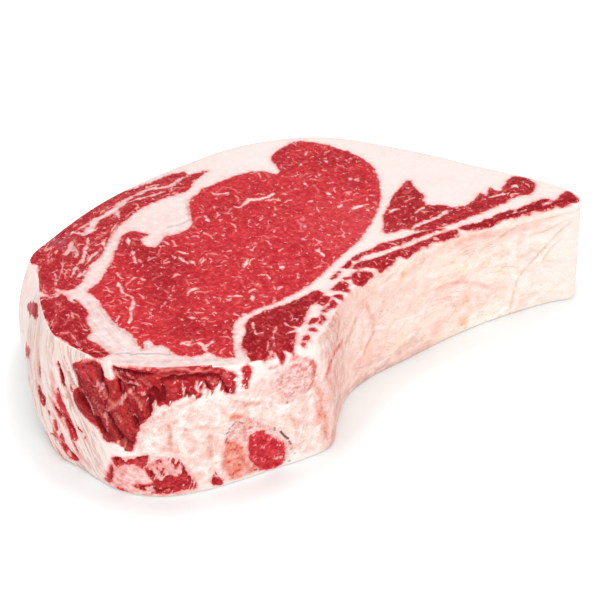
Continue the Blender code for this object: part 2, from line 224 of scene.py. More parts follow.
# Seams and threads of fat through that lean: width, then the line.
TOP_SEAMS = (
    (2.4, ((43, 11.1), (45, 14.2), (47.8, 16), (51, 17.8), (54.2, 20.3), (57.1, 22.9))),
    (1.7, ((45, 22.5), (46.3, 24.9), (48.3, 26.1))),
    (1.3, ((54.3, 21.7), (56.8, 23.9), (59.1, 24.7))),
    (1, ((74.3, 34.3), (78.7, 35.8), (82, 37.3))),
    (0.7, ((80.7, 22.3), (84.4, 24.3), (88.0, 26.0))),
    (1.8, ((83.9, 41.4), (85.3, 43.6), (86.3, 41.4))),
    (2, ((34.9, 22.9), (36.5, 24.3), (38.1, 25))),
    (2,
     ((-44.8, 45.9), (-47.5, 43.6), (-50.1, 39.9), (-52.7, 38), (-56.6, 36.8), (-59.7, 35.3), (-62.7, 33.1),
     (-66, 30.2))),
    (1.4, ((-53.3, 34.1), (-58.6, 31.1), (-63.2, 28.8), (-66.9, 25.9))),
    (3, ((-65.9, 29.5), (-68.5, 26.6), (-70.6, 23.7), (-72.6, 20.2), (-75.4, 16.7), (-77.6, 14.5))),
    (1.6, ((-71.2, 21.6), (-70.1, 17.5), (-69.6, 15.5))),
    (3.4, ((-77.6, 14.5), (-79.3, 12.4), (-79.4, 8.4), (-80.7, 5.7), (-82, 3.6))),
    (1.6, ((-80.4, 11.7), (-82.5, 9.6), (-85.3, 6.2), (-87.3, 3.5))),
    (1.3, ((-69.8, 12.7), (-71.4, 8.6), (-71.9, 5.3))),
    (1.5, ((-73.5, 1.9), (-74.3, -2.1), (-73.3, -6))),
    (2.6, ((-87.8, -7.8), (-88.7, -9.7), (-87, -7.7), (-86.2, -4.4), (-86.1, -1.2))),
    (1.6,
     ((-80.3, 1.7), (-80.3, -3.6), (-81, -7.6), (-80.7, -11.4), (-82, -14.1), (-83.2, -16.7), (-83.6, -20.5),
     (-84.4, -23.7))),
    (1.4, ((-75.8, -7.4), (-77.8, -10.1), (-79, -14), (-80.3, -16.6))),
    (2.4, ((-82.2, -23.6), (-80.6, -21.7), (-79.6, -19.7))),
    (1.4, ((-90.5, -21.9), (-89.4, -25.7), (-89.4, -29.4))),
    (1.2, ((-86.3, 5.5), (-83.6, 4.2), (-82.2, 5.6))),
    (1.2, ((-84.3, -5), (-83.2, -8.9), (-84.1, -10.9))),
    (1.6, ((-95.8, -31.7), (-93.6, -35.1), (-90.9, -36.6), (-88.1, -35.6))),
    (2, ((-89.2, -31.6), (-87.2, -33.1), (-85.2, -34.9), (-83.5, -37.9), (-81.2, -39.6))),
    (2.6, ((-84, -32.4), (-81.5, -35.4), (-79.1, -38.4), (-77.4, -41.4))),
    (1.3, ((-84.1, -47), (-82.7, -46.9), (-83.2, -48.7))),
    (1.2, ((-77.3, -55.1), (-75.8, -56.2))),
    (2.6, ((1.1, -52.6), (-1.1, -53.8), (-3.2, -54.8), (-5, -56))),
    (1.8, ((0, -51.8), (-2.1, -52.1), (-4.3, -51.3), (-5.4, -49.5))),
    (1.3, ((-3.2, -44.7), (-2.5, -47.7), (-3.6, -48.3), (-1.1, -46.4), (-1.4, -48.8))),
    (1, ((-16.9, -49.9), (-16.8, -53.4), (-15.7, -56.3))),
    (0.9, ((-15.3, -56.3), (-13.5, -55.7), (-11.4, -53.3))),
    (1, ((-8.6, -51.4), (-8.2, -53.2), (-9.6, -55.5))),
    (0.9, ((-9.6, -55.5), (-9.2, -59.6), (-8.8, -63.1))),
    (0.9, ((-11.3, -60.3), (-11.3, -64.9), (-12.7, -68.3))),
    (1.4, ((-9.9, -65.4), (-10.2, -67.4), (-11.3, -68.9))),
    (2.2, ((-5.7, -65.3), (-4.6, -65.7))),
    (1.3, ((-8.5, -67.2), (-8.7, -69), (-9.8, -70.1))),
    (1.2, ((-12, -69.5), (-12, -70.9))),
    (2.2,
     ((-25.6, 24.8), (-24.1, 23.8), (-22.9, 24.5), (-21.4, 27.4), (-19.9, 29.2), (-17.2, 29.9), (-14.9, 30.4),
     (-12.5, 31.9), (-10.2, 34.1))),
    (1.7, ((20.2, 24.1), (22.6, 25.9), (25, 27.4), (26.5, 27.8))),
    (1.5, ((6, -3.7), (7.5, -4.9), (9, -7.5))),
    (1.2, ((7.2, -2.3), (7.5, -5.6))),
    (1.5, ((-66.7, -26), (-66.8, -28.2), (-65.6, -30), (-65, -32.4), (-63.4, -34.3), (-61.9, -35.1))),
    (2.2, ((-61.5, -35.4), (-60.3, -37.8), (-60.5, -40.9), (-61, -43.9))),
    (1.3, ((-60.9, -44.5), (-60.7, -48.1), (-61.2, -51.1))),
    (2.2, ((-32.8, -66.6), (-33.5, -64.9), (-33.9, -63.8))),
    (1.8, ((-33.9, -64), (-35.4, -62.4), (-36.4, -61.8))),
    (1.8, ((-33.5, -64), (-31.8, -62.5), (-30.8, -60.8))),
    (1.5, ((-42, -63.1), (-40.3, -61.3), (-38.2, -61.6))),
    (1.8, ((-27, -34.4), (-24.8, -34.1), (-22.6, -33.7), (-21.2, -34.3))),
    (1.4, ((-27, -35.4), (-26.2, -36.6), (-24.8, -35))),
    (1.7, ((-17.5, -33.6), (-17.1, -36.6))),
    (2, ((-7.8, -16.4), (-6.7, -15), (-6, -14.4))),
    (1.2, ((-14.1, -20), (-11.9, -20.3), (-11.1, -22.8))),
    (1.6, ((-8.1, -29.6), (-7, -27.7), (-5.9, -27))),
    (1.3, ((-1.1, -18.7), (-0.7, -21.9))),
    (1.3, ((-20.8, -16.1), (-20.2, -12.9), (-19.5, -10.3))),
    (1.1, ((-14.2, -13), (-12.3, -13.3))),
    (1.6, ((-21.3, -45.2), (-19.8, -45.2))),
    (1.3, ((-41.3, -33), (-39.6, -30.5), (-36.7, -29.2))),
    (1.3, ((-46.6, -5.9), (-44.3, -6.8), (-42, -7.7))),
    (1.3, ((-45.3, -10.4), (-43.3, -12.3), (-41.8, -14.2))),
    (1.2, ((-40.4, -12.2), (-39.1, -14.7))),
    (1.2, ((-36.9, -14), (-35.9, -11.4), (-36.3, -9.5))),
    (1.5, ((-37.8, 18.5), (-36.2, 17.2), (-35, 13.8))),
    (1.3, ((-32.1, 20.8), (-31.6, 18), (-32.7, 15.9))),
    (1.2, ((-41, 3.5), (-39.2, 4.9), (-38.3, 2.9))),
    (1.4, ((-63.2, -5.7), (-62.2, -9.6), (-61.1, -14.1))),
    (1.1, ((-65.2, 2.1), (-64.5, -3.1))),
    (1.3, ((-51.1, -0.1), (-49.5, -2))),
    (1.5, ((-34.9, 34.7), (-33.3, 32.6), (-30.6, 33.4), (-28.2, 34.2))),
)

# Thin folds in the top fat, darkened with painted shade: width, then the line.
TOP_SHADE = (
    (2, ((-50.8, 9.6), (-48.6, 10.7), (-46, 11.4), (-43.4, 14.2))),
    (2, ((-44, 26.6), (-43.3, 20.4), (-42.6, 14.3))),
    (1.2, ((-60.4, 4.3), (-58.2, 4.7))),
)

# Single small flecks of fat in the eye of lean.
TOP_FLECKS = ((2.4, 63.7), (0.4, 56.2), (10.5, 58), (19.9, 45.8), (22.8, 45.9), (2, 41.6), (-5.5, 34.2), (4.3, 29.6), (11.4,
    34.7), (27.9, 34.6), (15.6, 26.4), (1.9, 12.2), (1.5, 3.5), (-16.7, -0.4), (-54.4, -44.6), (-38.8, -47.5),
    (-39.9, -63.3), (-6.7, -15))

# Outlines of the lean and of the red marrow on the wall, as (u, z).
WALL_LEAN = {
    "L1": (
        (283.4, 31.6), (290.4, 37.9), (293, 37.7), (292.8, 35.2), (290.2, 30.9), (272.1, 15.7), (277.2, 23.1),
    ),
    "L1b": (
        (274, 44.1), (278.4, 48.9), (285.5, 52.6), (292.3, 55.7), (295.6, 55.6), (294.7, 53.2), (289, 49.1), (280.5,
        45),
    ),
    "L2": (
        (304.1, 30.3), (307.2, 32.8), (309.3, 32.4), (311.6, 32.1), (313.1, 31.3), (312.6, 29.5), (310.2, 26.1),
        (307.6, 26.1), (306, 27.6), (304.6, 28.9),
    ),
    "L4": (
        (313.8, 27.1), (314.9, 28), (315.2, 26.2), (314.7, 24.2), (313.8, 24.5),
    ),
    "L5": (
        (315.6, 23), (316.8, 25.5), (317.3, 23.6), (317.5, 21.2), (317.1, 18.8), (316.1, 19.2), (315.6, 21),
    ),
    "L6": (
        (310.9, 11.9), (314, 15.6), (315.9, 16.2), (315.4, 14.3), (313.5, 12.1), (311.6, 11.7),
    ),
    "L7": (
        (317.1, 52.1), (318.2, 52.5), (319.6, 48.9), (320.6, 45.9), (321.3, 41.7), (320.6, 40.9), (319.6, 43.7),
        (318.5, 47.5),
    ),
    "L8": (
        (317.3, 41.4), (318.2, 41.6), (319.2, 38.8), (320.4, 36.1), (322, 33.5), (323.2, 30.6), (323.7, 27.4),
        (324.4, 23.7), (324.8, 20.7), (324.8, 18.5), (323.4, 18.5), (322.2, 21.1), (321.1, 23.7), (320.4, 27.4),
        (319.4, 30.9), (318.2, 34.2), (317.5, 37.9),
    ),
    "L9": (
        (317.8, 18.6), (318.9, 19.9), (319.6, 17.5), (319.6, 14.7), (320.1, 11.6), (320.4, 9), (318.5, 9), (317.8,
        11.9), (316.8, 14.2),
    ),
    "L10": (
        (319.9, 14.4), (320.6, 13.6), (321.5, 10.7), (322.9, 9.2), (324.1, 7.7), (322.9, 5.1), (321.1, 6.4), (319.9,
        9.2), (319.2, 11.8),
    ),
    "L11": (
        (323.2, 45.2), (324.1, 45.3), (325.5, 42.7), (324.8, 41.9), (323.7, 43.6),
    ),
    "L12": (
        (325.1, 27.4), (326, 27.8), (328.1, 25.4), (327, 24.1),
    ),
    "L13": (
        (328.1, 21.7), (329.1, 22.5), (329.1, 20.4), (328.1, 19.6),
    ),
    "M": (
        (323.9, 54.2), (325.8, 54.8), (327.9, 54.9), (328.4, 56.6), (330.5, 58.1), (333.1, 59.4), (335.2, 59.5),
        (336.4, 58), (337.3, 56), (337.8, 53.6), (339.2, 53.2), (341.1, 53.1), (342.7, 55), (341.6, 57.2), (341.1,
        59.6), (344.1, 59.6), (347.9, 60.1), (351.5, 60.0), (355, 60.0), (358.5, 60.4), (361.8, 60.5), (365.3,
        60.5), (368.9, 60.6), (371.9, 60.5), (375.9, 59.8), (379.5, 59), (382.8, 57.4), (385.4, 55), (385.1, 51.5),
        (384.7, 48.6), (384.9, 45.6), (382.3, 46.7), (380.7, 47), (379.5, 48.9), (378.5, 50.6), (377.8, 51.2),
        (376.9, 48.4), (376.2, 45.9), (375.5, 47.9), (374.8, 49.5), (374.3, 51.3), (373.6, 52.8), (373.1, 50.1),
        (372.4, 47.5), (371.2, 44.9), (370.5, 47.4), (368.4, 47.8), (367, 47.2), (365.6, 47.4), (363.5, 46.7),
        (361.6, 45.5), (360.9, 44.3), (359.2, 45.5), (357.8, 44.2), (356.9, 44.6), (355.9, 45.4), (355.9, 43.9),
        (355.2, 41.6), (354.3, 39.8), (352.9, 38.4), (351.5, 37.3), (350.5, 34.9), (349.8, 33), (349.1, 29.6),
        (348.4, 26.6), (347.7, 24.1), (346.5, 22.5), (345.3, 22.4), (344.1, 23.9), (343, 25.4), (342.5, 27.3),
        (341.6, 25.8), (340.1, 24.9), (338.3, 24.7), (336.8, 25), (336.1, 26.7), (335.4, 28.2), (334.3, 29.5),
        (332.8, 30.6), (331.2, 31.1), (329.3, 32), (327.7, 33.4), (326.5, 35.6), (325.8, 38.2), (325.1, 41.6),
        (326.2, 44), (327.7, 45.5), (326.7, 47.7), (325.8, 49.9), (324.8, 52.1),
    ),
    "D1": (
        (351.7, 60.2), (352.9, 60.5), (355, 60.4), (356.6, 60.4), (355.2, 60.3), (353.6, 60.2),
    ),
    "D2": (
        (357.3, 60.3), (359.5, 60.4), (362.1, 60.3), (364.9, 60.2), (364.2, 60.2), (361.3, 60.2), (359.2, 60.1),
    ),
    "R1": (
        (335.4, 3.6), (337.3, 8.1), (338.7, 13.6), (339.9, 15.1), (339.7, 11.3), (339, 4.8), (337.6, 3.4),
    ),
    "R2": (
        (339.7, 17.5), (341.3, 19), (343.4, 18.3), (346.3, 18.9), (349.1, 20.6), (352.4, 21.1), (353.3, 20), (351.9,
        17.6), (350.7, 14.9), (348.9, 16.1), (347, 16.8), (343.9, 16), (341.3, 13.6), (339.9, 15.1),
    ),
    "R3": (
        (350.7, 14.9), (353.3, 18.5), (356.2, 19.6), (357.8, 18.7), (358.5, 16.6), (359.5, 18.5), (361.6, 19.2),
        (363.7, 17.5), (365.1, 13.7), (367, 9.8), (369.1, 6.2), (369.8, 4), (367.7, 3.4), (364.6, 3.6), (361.8,
        3.1), (359, 2.9), (355.2, 2.3), (352.4, 2.7), (349.8, 4), (347.7, 4.6), (345.6, 5.7), (349.1, 7), (352.6,
        7), (354.3, 9.1), (352.2, 11.5),
    ),
    "R4": (
        (376.4, 8.6), (377.1, 6.2), (379.2, 4.3), (379.7, 2), (377.4, 2), (375, 2.9), (375.5, 5.3),
    ),
    "R5": (
        (339.9, 2.5), (342.3, 3.1), (344.6, 2.3), (343, 1), (340.6, 1),
    ),
    "B1": (
        (386.8, 56.5), (388.2, 58), (389.6, 57.9), (390.8, 56), (390.1, 53.2), (389.4, 50.7), (389.6, 48.2), (388.7,
        47), (387, 49), (386.3, 50.7), (387.5, 52.4), (388, 54.2),
    ),
    "disc": (
        (391.0, 21.4), (392.9, 23.1), (394.9, 23.2), (396.7, 20.9), (397.7, 17.6), (400.7, 15.0), (402.8, 11.8),
        (403.8, 7.7), (402.9, 5.4), (401.2, 4.5), (401.5, 2.2), (398.3, 2.4), (395.3, 2.8), (393.1, 4.6), (391.3,
        7.4), (389.9, 11.4), (389.3, 15.4), (389.7, 18.9),
    ),
}

# Seams of fat through the lean of the wall: width, then the line.
WALL_SEAMS = (
    (1.1, ((398.6, 6.6), (400.2, 6.4), (402.6, 5.2))),
    (1.6, ((337.8, 52.2), (337.6, 49.2), (335.7, 47.1), (335.9, 45.1), (337.6, 44), (339.4, 43.3))),
    (1.5,
     ((340.9, 41), (343.2, 43.5), (344.9, 45.6), (345.3, 47.9), (347.2, 50.1), (349.1, 51.3), (351.2, 50.9),
     (352.9, 49.6), (354, 47.7))),
    (1.5, ((339, 42.1), (338, 39.1), (338, 35.9), (338.7, 32.9), (338.3, 29.5))),
    (2.2, ((342.3, 57.8), (343.7, 55.2), (346.3, 53.9), (349.1, 53.7), (351.2, 52.6))),
    (1.4, ((344.1, 58), (347, 56.9), (349.8, 55.4))),
    (1.8, ((328.8, 44.8), (331, 41.4), (332.6, 37.7), (333.8, 33))),
    (1.3, ((332.8, 48.9), (335, 48.2), (336.1, 51.3))),
    (1, ((325.8, 53.5), (327.7, 51.9), (329.1, 48.9))),
    (1.1, ((342.3, 39.7), (343.9, 38.6), (345.3, 36.7))),
    (1.3, ((366.3, 53.7), (366.5, 50.7), (366.1, 47.6))),
    (1.8, ((371.2, 54.1), (370.8, 51.3), (371.7, 49))),
    (1.3, ((373.6, 52.8), (374.1, 49.1))),
    (2.2, ((358.8, 15.7), (360.4, 13.9), (362.1, 11.3))),
    (1.8, ((360.2, 17.5), (360.4, 14.5), (358.5, 12.6))),
    (1.5, ((353.1, 16.6), (355.2, 13.8), (357.1, 9.6))),
    (1.3, ((356.2, 18.1), (356.9, 14.7))),
    (1.3, ((363.7, 15), (362.8, 12.1))),
    (1.2, ((351.2, 5.3), (354, 4))),
    (1.2, ((353.3, 19.6), (355.2, 16.6))),
    (2, ((358, 23.5), (359, 19.6), (358.3, 15.7))),
    (1, ((349.3, 41.1), (350.5, 40.7))),
)

# Faint pink streaks on the wall: width, strength, then the line.
WALL_BLUSH = (
    (1.3, 0.6, ((344.5, 60.0), (351.0, 59.7), (358.0, 60.2), (366.0, 60.5), (374.0, 60.4))),
    (1.5, 0.9, ((389.0, 28.6), (390.1, 26.9))),
    (1.3, 0.6, ((387.6, 39.9), (388.4, 39.0))),
    (1.1, 0.7, ((385.6, 4.2), (387.7, 4.8), (389.8, 5.8))),
    (1.6, 0.35, ((404.6, 34.0), (406.3, 33.9))),
    (1.5, 0.95, ((413.4, 51.7), (415.5, 48.0), (416.5, 43.4), (415.1, 38.5), (413.6, 35.9))),
    (1.6, 0.75, ((404.7, 50.4), (407.7, 52.3), (411.3, 52.8), (413.4, 51.7))),
    (1.2, 0.6, ((405.2, 48.1), (408.5, 48.6), (412.0, 48.5))),
    (1.8, 0.7, ((417.4, 23.8), (418.1, 19.3), (417.6, 15.7))),
    (1.0, 0.4, ((416.0, 33.0), (416.5, 26.9), (417.4, 23.8))),
    (2.0, 0.75, ((382.5, 3.6), (386.3, 3.6), (389.4, 4.3), (393.4, 4.1))),
    (1.8, 0.6, ((396.8, 55.4), (398.6, 54.4), (400.6, 55.0))),
    (1.6, 0.9, ((383.5, 33.0), (385.1, 33.3), (387.0, 32.3))),
    (1.6, 0.85, ((388.4, 29.3), (390.3, 26.8))),
    (1.6, 0.5, ((315.6, 45.8), (316.8, 40.7), (317.5, 35.1))),
    (1.4, 0.45, ((311.9, 28), (314, 27.3))),
    (2.2, 0.6, ((439.5, 40), (433.2, 42.1), (427.3, 43.7), (424.2, 42.2), (421.9, 40), (420.5, 36.5))),
    (3, 0.5, ((416.9, 27.9), (418.1, 22.1), (419.5, 14.9), (420.7, 7.8))),
    (1.6, 0.7,
     ((405.6, 55), (409.4, 54.7), (412.9, 51.8), (415.8, 47), (416.2, 43.2), (415.5, 39.4), (414.1, 36.7),
     (412.9, 35.8))),
    (2, 0.8, ((383.3, 33.6), (384.9, 33.5), (386.8, 32.9))),
    (2, 0.8, ((388.4, 30.2), (390.1, 28.1), (390.8, 25.7))),
    (1.6, 0.4, ((437.4, 56.5), (436.3, 47.1), (425.2, 43.8), (419.5, 36.7))),
    (1.2, 0.3, ((491.1, 30.6), (503.6, 30.9), (516.1, 25.4), (522.7, 19.4))),
    (2, 0.3, ((460.5, 42.4), (467.1, 27), (459.8, 17.8))),
    (3, 0.22, ((506.2, 48.9), (515.2, 48.4), (527.2, 45.4), (539, 43.7))),
    (2.6, 0.25, ((443.3, 35), (450.4, 36.6), (453.2, 42.2))),
    (1.4, 0.4, ((360.6, 35.5), (360.9, 29.9), (360.4, 24.6))),
    (1.2, 0.4, ((349.8, 34.5), (354.5, 37.7), (359.2, 40.4))),
    (1.4, 0.4, ((370.1, 45.7), (366.8, 44.4), (363.7, 43.7))),
    (1.2, 0.4, ((362.8, 21.6), (360.9, 23), (358.8, 23.5))),
    (1.4, 0.45, ((374.5, 29.2), (375.9, 22.7), (374.8, 15.7))),
    (2, 0.45, ((416, 36.9), (419.3, 26.1), (416.5, 15.8))),
    (1.4, 0.35, ((367.2, 22.1), (368.9, 23.2), (370.3, 22.8))),
    (2.4, 0.3, ((384.4, 41.8), (390.1, 36.8), (394.6, 37))),
    (1.4, 0.4, ((405.4, 26.7), (408.5, 18.5), (407.5, 12.7))),
    (2.2, 0.75, ((405.9, 51.1), (408, 51.4), (410.6, 51.1))),
    (2, 0.7, ((408.2, 48.5), (411.8, 48), (413.2, 48.2))),
    (1.1, 0.95, ((412.7, 52.3), (415.1, 49.9), (416.5, 45.7), (415.8, 41.6), (414.1, 37.9))),
    (1, 0.7, ((402.1, 47.7), (402.8, 44.8))),
    (1, 0.5, ((401.6, 43.2), (404.2, 40.9))),
    (1, 0.6, ((408, 45.4), (410.1, 44.6))),
    (1.6, 0.35, ((424.2, 37.6), (428.9, 35.3))),
    (1.6, 0.9, ((383.5, 32.5), (387, 32.7))),
    (1.6, 0.8, ((388.9, 28.6), (390.3, 27))),
    (1.2, 0.6, ((383.5, 3.6), (386.5, 5.2), (390.3, 5.2), (392.4, 3.6))),
)

# Creases of the front and the left wall, sunk into the relief and darkened with painted shade: width, then the line.
WALL_CREASE = (
    (1.6, ((341.3, 59.5), (346.3, 58.4), (351.5, 57.8), (357.3, 58.3))),
    (2.2, ((353.3, 49), (355, 46.5), (355.2, 43.9), (354.7, 40.5), (353.3, 37.9))),
    (2.4, ((355.7, 52.3), (357.1, 49.9), (358, 46.5))),
    (3, ((342.3, 33), (343.9, 29.6), (345.6, 26.2))),
    (1.6, ((336.4, 56.3), (337.6, 50.4), (339.4, 45.9), (338.3, 42.7))),
    (2.2, ((328.1, 43.3), (331.2, 36.7), (334.7, 31.9), (336.8, 28))),
    (1.8, ((359, 55.1), (363.2, 56.5), (370.5, 56.5), (378.1, 55.2))),
    (1.8, ((367, 49), (369.1, 46.7), (371.2, 45.7))),
    (1.6, ((358.8, 53.8), (359.5, 49.8), (358.8, 46.6))),
    (1.4, ((338, 41), (339, 37.2), (340.9, 34.3), (342.7, 32))),
    (1.4, ((348.4, 41.5), (350.3, 38.1), (351.5, 33.6), (350.5, 28.9))),
    (1.2, ((379, 54.6), (380.7, 50.7), (382.1, 45.4))),
    (1.2, ((373.8, 53.6), (374.8, 49.8), (374.1, 46.3))),
    (1.4, ((344.4, 55.4), (343, 50.8), (344.4, 47.3))),
    (1.2, ((347, 53.3), (348.6, 52.4), (350.5, 53.9))),
    (1.4, ((340.4, 16.8), (346.3, 20), (351.9, 21.3), (356.9, 20.6))),
    (2, ((362.8, 19.4), (365.8, 12.8), (369.4, 5.7))),
    (1.2, ((349.6, 5.5), (354.7, 4.6), (360.4, 4.8))),
    (1.2, ((339.7, 12.8), (339, 7.9), (339.2, 3.8))),
    (1, ((352.2, 17.9), (353.8, 14.2), (352.9, 9.5))),
    (1, ((356.9, 18.7), (358, 14.7), (360.6, 11.5))),
    (1.4, ((318, 51.8), (320.1, 44.8), (322.5, 38), (326, 31.3))),
    (1.2, ((304.3, 28.9), (309.8, 28), (311.9, 27.8))),
    (1.4, ((315.9, 31.8), (318.9, 27.9), (323.4, 22.8), (325.1, 19.1))),
    (1, ((311.6, 12.7), (318, 12.1), (322.2, 7.3))),
    (1, ((311.4, 42.6), (314, 38.4), (316.6, 34.5))),
    (1.6, ((352.4, 36.8), (357.3, 40.5), (361.6, 42.1))),
    (1.4, ((360.6, 34.8), (360.2, 29.2), (360.6, 23.3))),
    (1.2, ((366.3, 39.5), (366.5, 34.6), (365.8, 29.8))),
    (1.4, ((369.6, 31.8), (374.5, 32.2), (379.7, 29.1))),
    (1.2, ((350.5, 31.7), (355.0, 35.6))),
    (1.4, ((371.7, 24.8), (374.8, 20.1), (375.2, 14.0))),
    (1.4, ((366.1, 22.3), (369.1, 17.2), (370.1, 12.4))),
    (1.4, ((367.2, 10.9), (368.2, 6.8), (369.6, 4.7))),
    (1.0, ((370.8, 10.0), (372.0, 8.2))),
    (1.2, ((384.0, 42.0), (388.0, 39.5), (391.0, 35.0))),
    (1.0, ((378.6, 41.0), (380.5, 36.0), (379.8, 32.0))),
    (1, ((323.7, 49.9), (325.5, 44.5), (328.8, 38.9))),
)

# Pale wet crests there, raised a little and whitened as painted highlight: width, then the line.
WALL_GLEAM = (
    (1.2, ((362.8, 44.3), (367.0, 45.1), (370.1, 43.1))),
    (1.2, ((350.3, 26.0), (354.3, 29.2), (357.8, 30.7))),
    (1.4, ((362.1, 31.8), (365.1, 25.5), (366.1, 19.5))),
    (1.2, ((376.7, 42.5), (378.8, 35.2), (377.4, 31.4))),
    (1.4, ((368.4, 12.2), (371.2, 13.3), (374.1, 9.7), (373.1, 5.8), (370.3, 5.9))),
    (1.2, ((353.6, 38.0), (358.8, 42.4), (362.0, 43.6))),
    (1.0, ((384.9, 44.4), (389.5, 42.0), (394.0, 38.0))),
    (0.8, ((358, 58.9), (360.2, 60), (366.5, 59.6), (372.7, 58.3), (376.9, 58.4))),
    (0.6, ((359.7, 57.7), (363.7, 57.9), (367.5, 57.2))),
    (1, ((336.8, 48.8), (339.2, 44.2), (341.3, 42.9))),
    (1, ((343.2, 40.1), (345.1, 37.1))),
    (1.2, ((329.5, 57.4), (333.1, 59.4), (335.7, 59.1))),
    (1.3, ((347.0, 50.2), (350.3, 47.9), (351.9, 44.1))),
    (1.5, ((339.2, 39.3), (342.7, 44.0), (346.2, 48.2))),
    (0.9, ((331.7, 50.3), (331.9, 49.6))),
    (0.9, ((348.4, 41.1), (348.9, 41.1))),
    (0.7, ((329.3, 52.9), (329.8, 52.5))),
    (0.7, ((341.1, 49.5), (341.3, 48.2))),
    (0.8, ((351, 56.3), (353.3, 55), (354.7, 53.3))),
    (0.7, ((375.2, 54.4), (378.1, 52.1))),
    (0.7, ((380, 57.4), (382.5, 55))),
    (0.7, ((344.6, 27.9), (345.6, 24.7))),
    (0.8, ((333.5, 43.1), (335.4, 38.5), (337.8, 35))),
    (0.7, ((335, 51.6), (335.2, 48.2))),
)

# Dark chips round the stub: width, then the line.
WALL_CHIPS = (
    (0.9, ((399.3, 22.0), (399.7, 20.6))),
    (0.7, ((397.9, 19.1), (398.6, 18.5))),
    (1.3, ((401.7, 18.9), (403.0, 16.8), (404.4, 14.5))),
    (1.0, ((404.8, 13.0), (405.6, 11.3))),
    (0.7, ((405.2, 8.2), (405.9, 9.0))),
    (0.6, ((406.8, 5.3), (407.3, 5.4))),
    (0.6, ((398.3, 16.4), (399.0, 15.9))),
    (0.6, ((400.7, 15.2), (401.2, 14.7))),
    (0.8, ((402.6, 4.1), (403.1, 3.7))),
    (0.8, ((404.3, 3.0), (404.8, 2.7))),
    (0.9, ((386.5, 30.1), (387.5, 29.0))),
    (0.7, ((384.7, 30.2), (385.4, 30.4))),
    (0.9, ((383.5, 29.2), (384.2, 29.8))),
    (0.8, ((382.3, 28.0), (382.8, 28.6))),
    (0.9, ((381.5, 25.7), (382.3, 26.6))),
    (0.9, ((381.0, 21.8), (381.6, 23.4))),
    (0.8, ((385.8, 9.5), (386.5, 8.5))),
    (0.9, ((391.5, 3.8), (392.4, 3.6))),
)

# Small dark pores of the upper sawn place: width, then the line.
WALL_DARK = (
    (0.6, ((402.6, 45.0), (402.8, 44.8))),
    (0.6, ((403.5, 42.2), (403.6, 41.9))),
    (0.6, ((408.5, 40.0), (408.8, 39.9))),
    (0.5, ((401.6, 41.2), (401.7, 41.0))),
    (0.5, ((400.7, 47.0), (400.9, 46.9))),
    (0.5, ((405.2, 46.0), (405.3, 45.8))),
    (0.5, ((409.9, 44.5), (410.1, 44.3))),
    (0.5, ((407.3, 37.4), (407.4, 37.2))),
    (0.5, ((404.7, 33.3), (404.8, 33.1))),
    (0.5, ((405.9, 36.7), (406.1, 36.6))),
)

# Other zones and lines of the wall.
WALL_MARKS = {
    "facet": (
        (399.5, 51.9), (402.6, 53.7), (405.6, 55), (409.4, 54.7), (412.9, 51.8), (415.8, 47), (416.2, 43.2), (415.5,
        39.4), (414.1, 36.7), (412.9, 34.1), (409.4, 32.9), (405.4, 32.6), (401.9, 35), (399.5, 40.2), (398.3, 46),
    ),
    "vert": (
        (380.2, 21.3), (381.6, 26.8), (383.3, 29.7), (385.6, 31.8), (388.7, 32.2), (392, 29.8), (395.7, 26.7), (399,
        22), (402.6, 17.8), (404.7, 13.3), (405.9, 8.6), (405.2, 4.8), (402.6, 2.7), (397.1, 1.9), (391.5, 2.5),
        (385.8, 3), (381.4, 4), (379, 9.5), (378.8, 15.8),
    ),
    "bonezone": (
        (357.1, 43.9), (363.5, 46.1), (371.2, 44.4), (376.2, 44.9), (384.9, 45.1), (390.1, 45.9), (394.6, 51.7),
        (399.5, 51.9), (409.6, 43.1), (419.5, 44.6), (422.8, 25.1), (424, 8.5), (420.5, 2.7), (405.6, 4.1), (389.6,
        2.9), (376.2, 3.4), (369.8, 5.5), (365.1, 13.7), (358.5, 18.7), (353.3, 21.5), (348.2, 22.8), (350, 33.4),
        (355, 39.7),
    ),
    "tube": (
        (370.8, 12.9), (373.1, 13.3), (375.2, 11), (375.5, 7.3), (374.3, 4.2), (371.7, 4.4), (370.3, 7.3), (370.1,
        10.5),
    ),
    "fold1": (
        (558.7, 41.7), (554, 37.6), (547.9, 31.3), (542.5, 25.9), (537.3, 20.9), (535.2, 13.8), (534.2, 0.9),
    ),
    "foldA": (
        (563.9, 47), (553.6, 45.6), (544.8, 45.3), (535.7, 46.4), (526.7, 43.6),
    ),
    "foldB": (
        (561.3, 43.7), (553.8, 41.5), (547.4, 39.3), (540.6, 39.7),
    ),
    "foldC": (
        (554.3, 33.5), (550.3, 29.5), (547.2, 24.2),
    ),
    "greyline": (
        (429.4, 15.5), (448.7, 1.5), (463.1, 1.1), (473.2, 1), (483.1, 1), (494, 1.1),
    ),
    "spotA": (
        (480.8, 10.2), (484.8, 11.8), (489.7, 11.1), (493.3, 9.3), (492.8, 5.8), (489, 4.7), (484.1, 5.3), (481,
        7.5),
    ),
    "spotB": (
        (480.5, 46.2),
    ),
    "spotC": (
        (511.4, 18.2),
    ),
    "spotD": (
        (511.2, 6.6),
    ),
    "chinetop": (
        (420.5, 54.5), (421.6, 43.6), (422.8, 25.1), (424.9, 7.8),
    ),
    "orange": (
        (379.2, 21.7), (383.3, 23.1), (388.4, 18.4), (389.1, 11.4), (390.6, 6.7), (385.8, 3), (381.4, 4), (378.8,
        10.6),
    ),
}

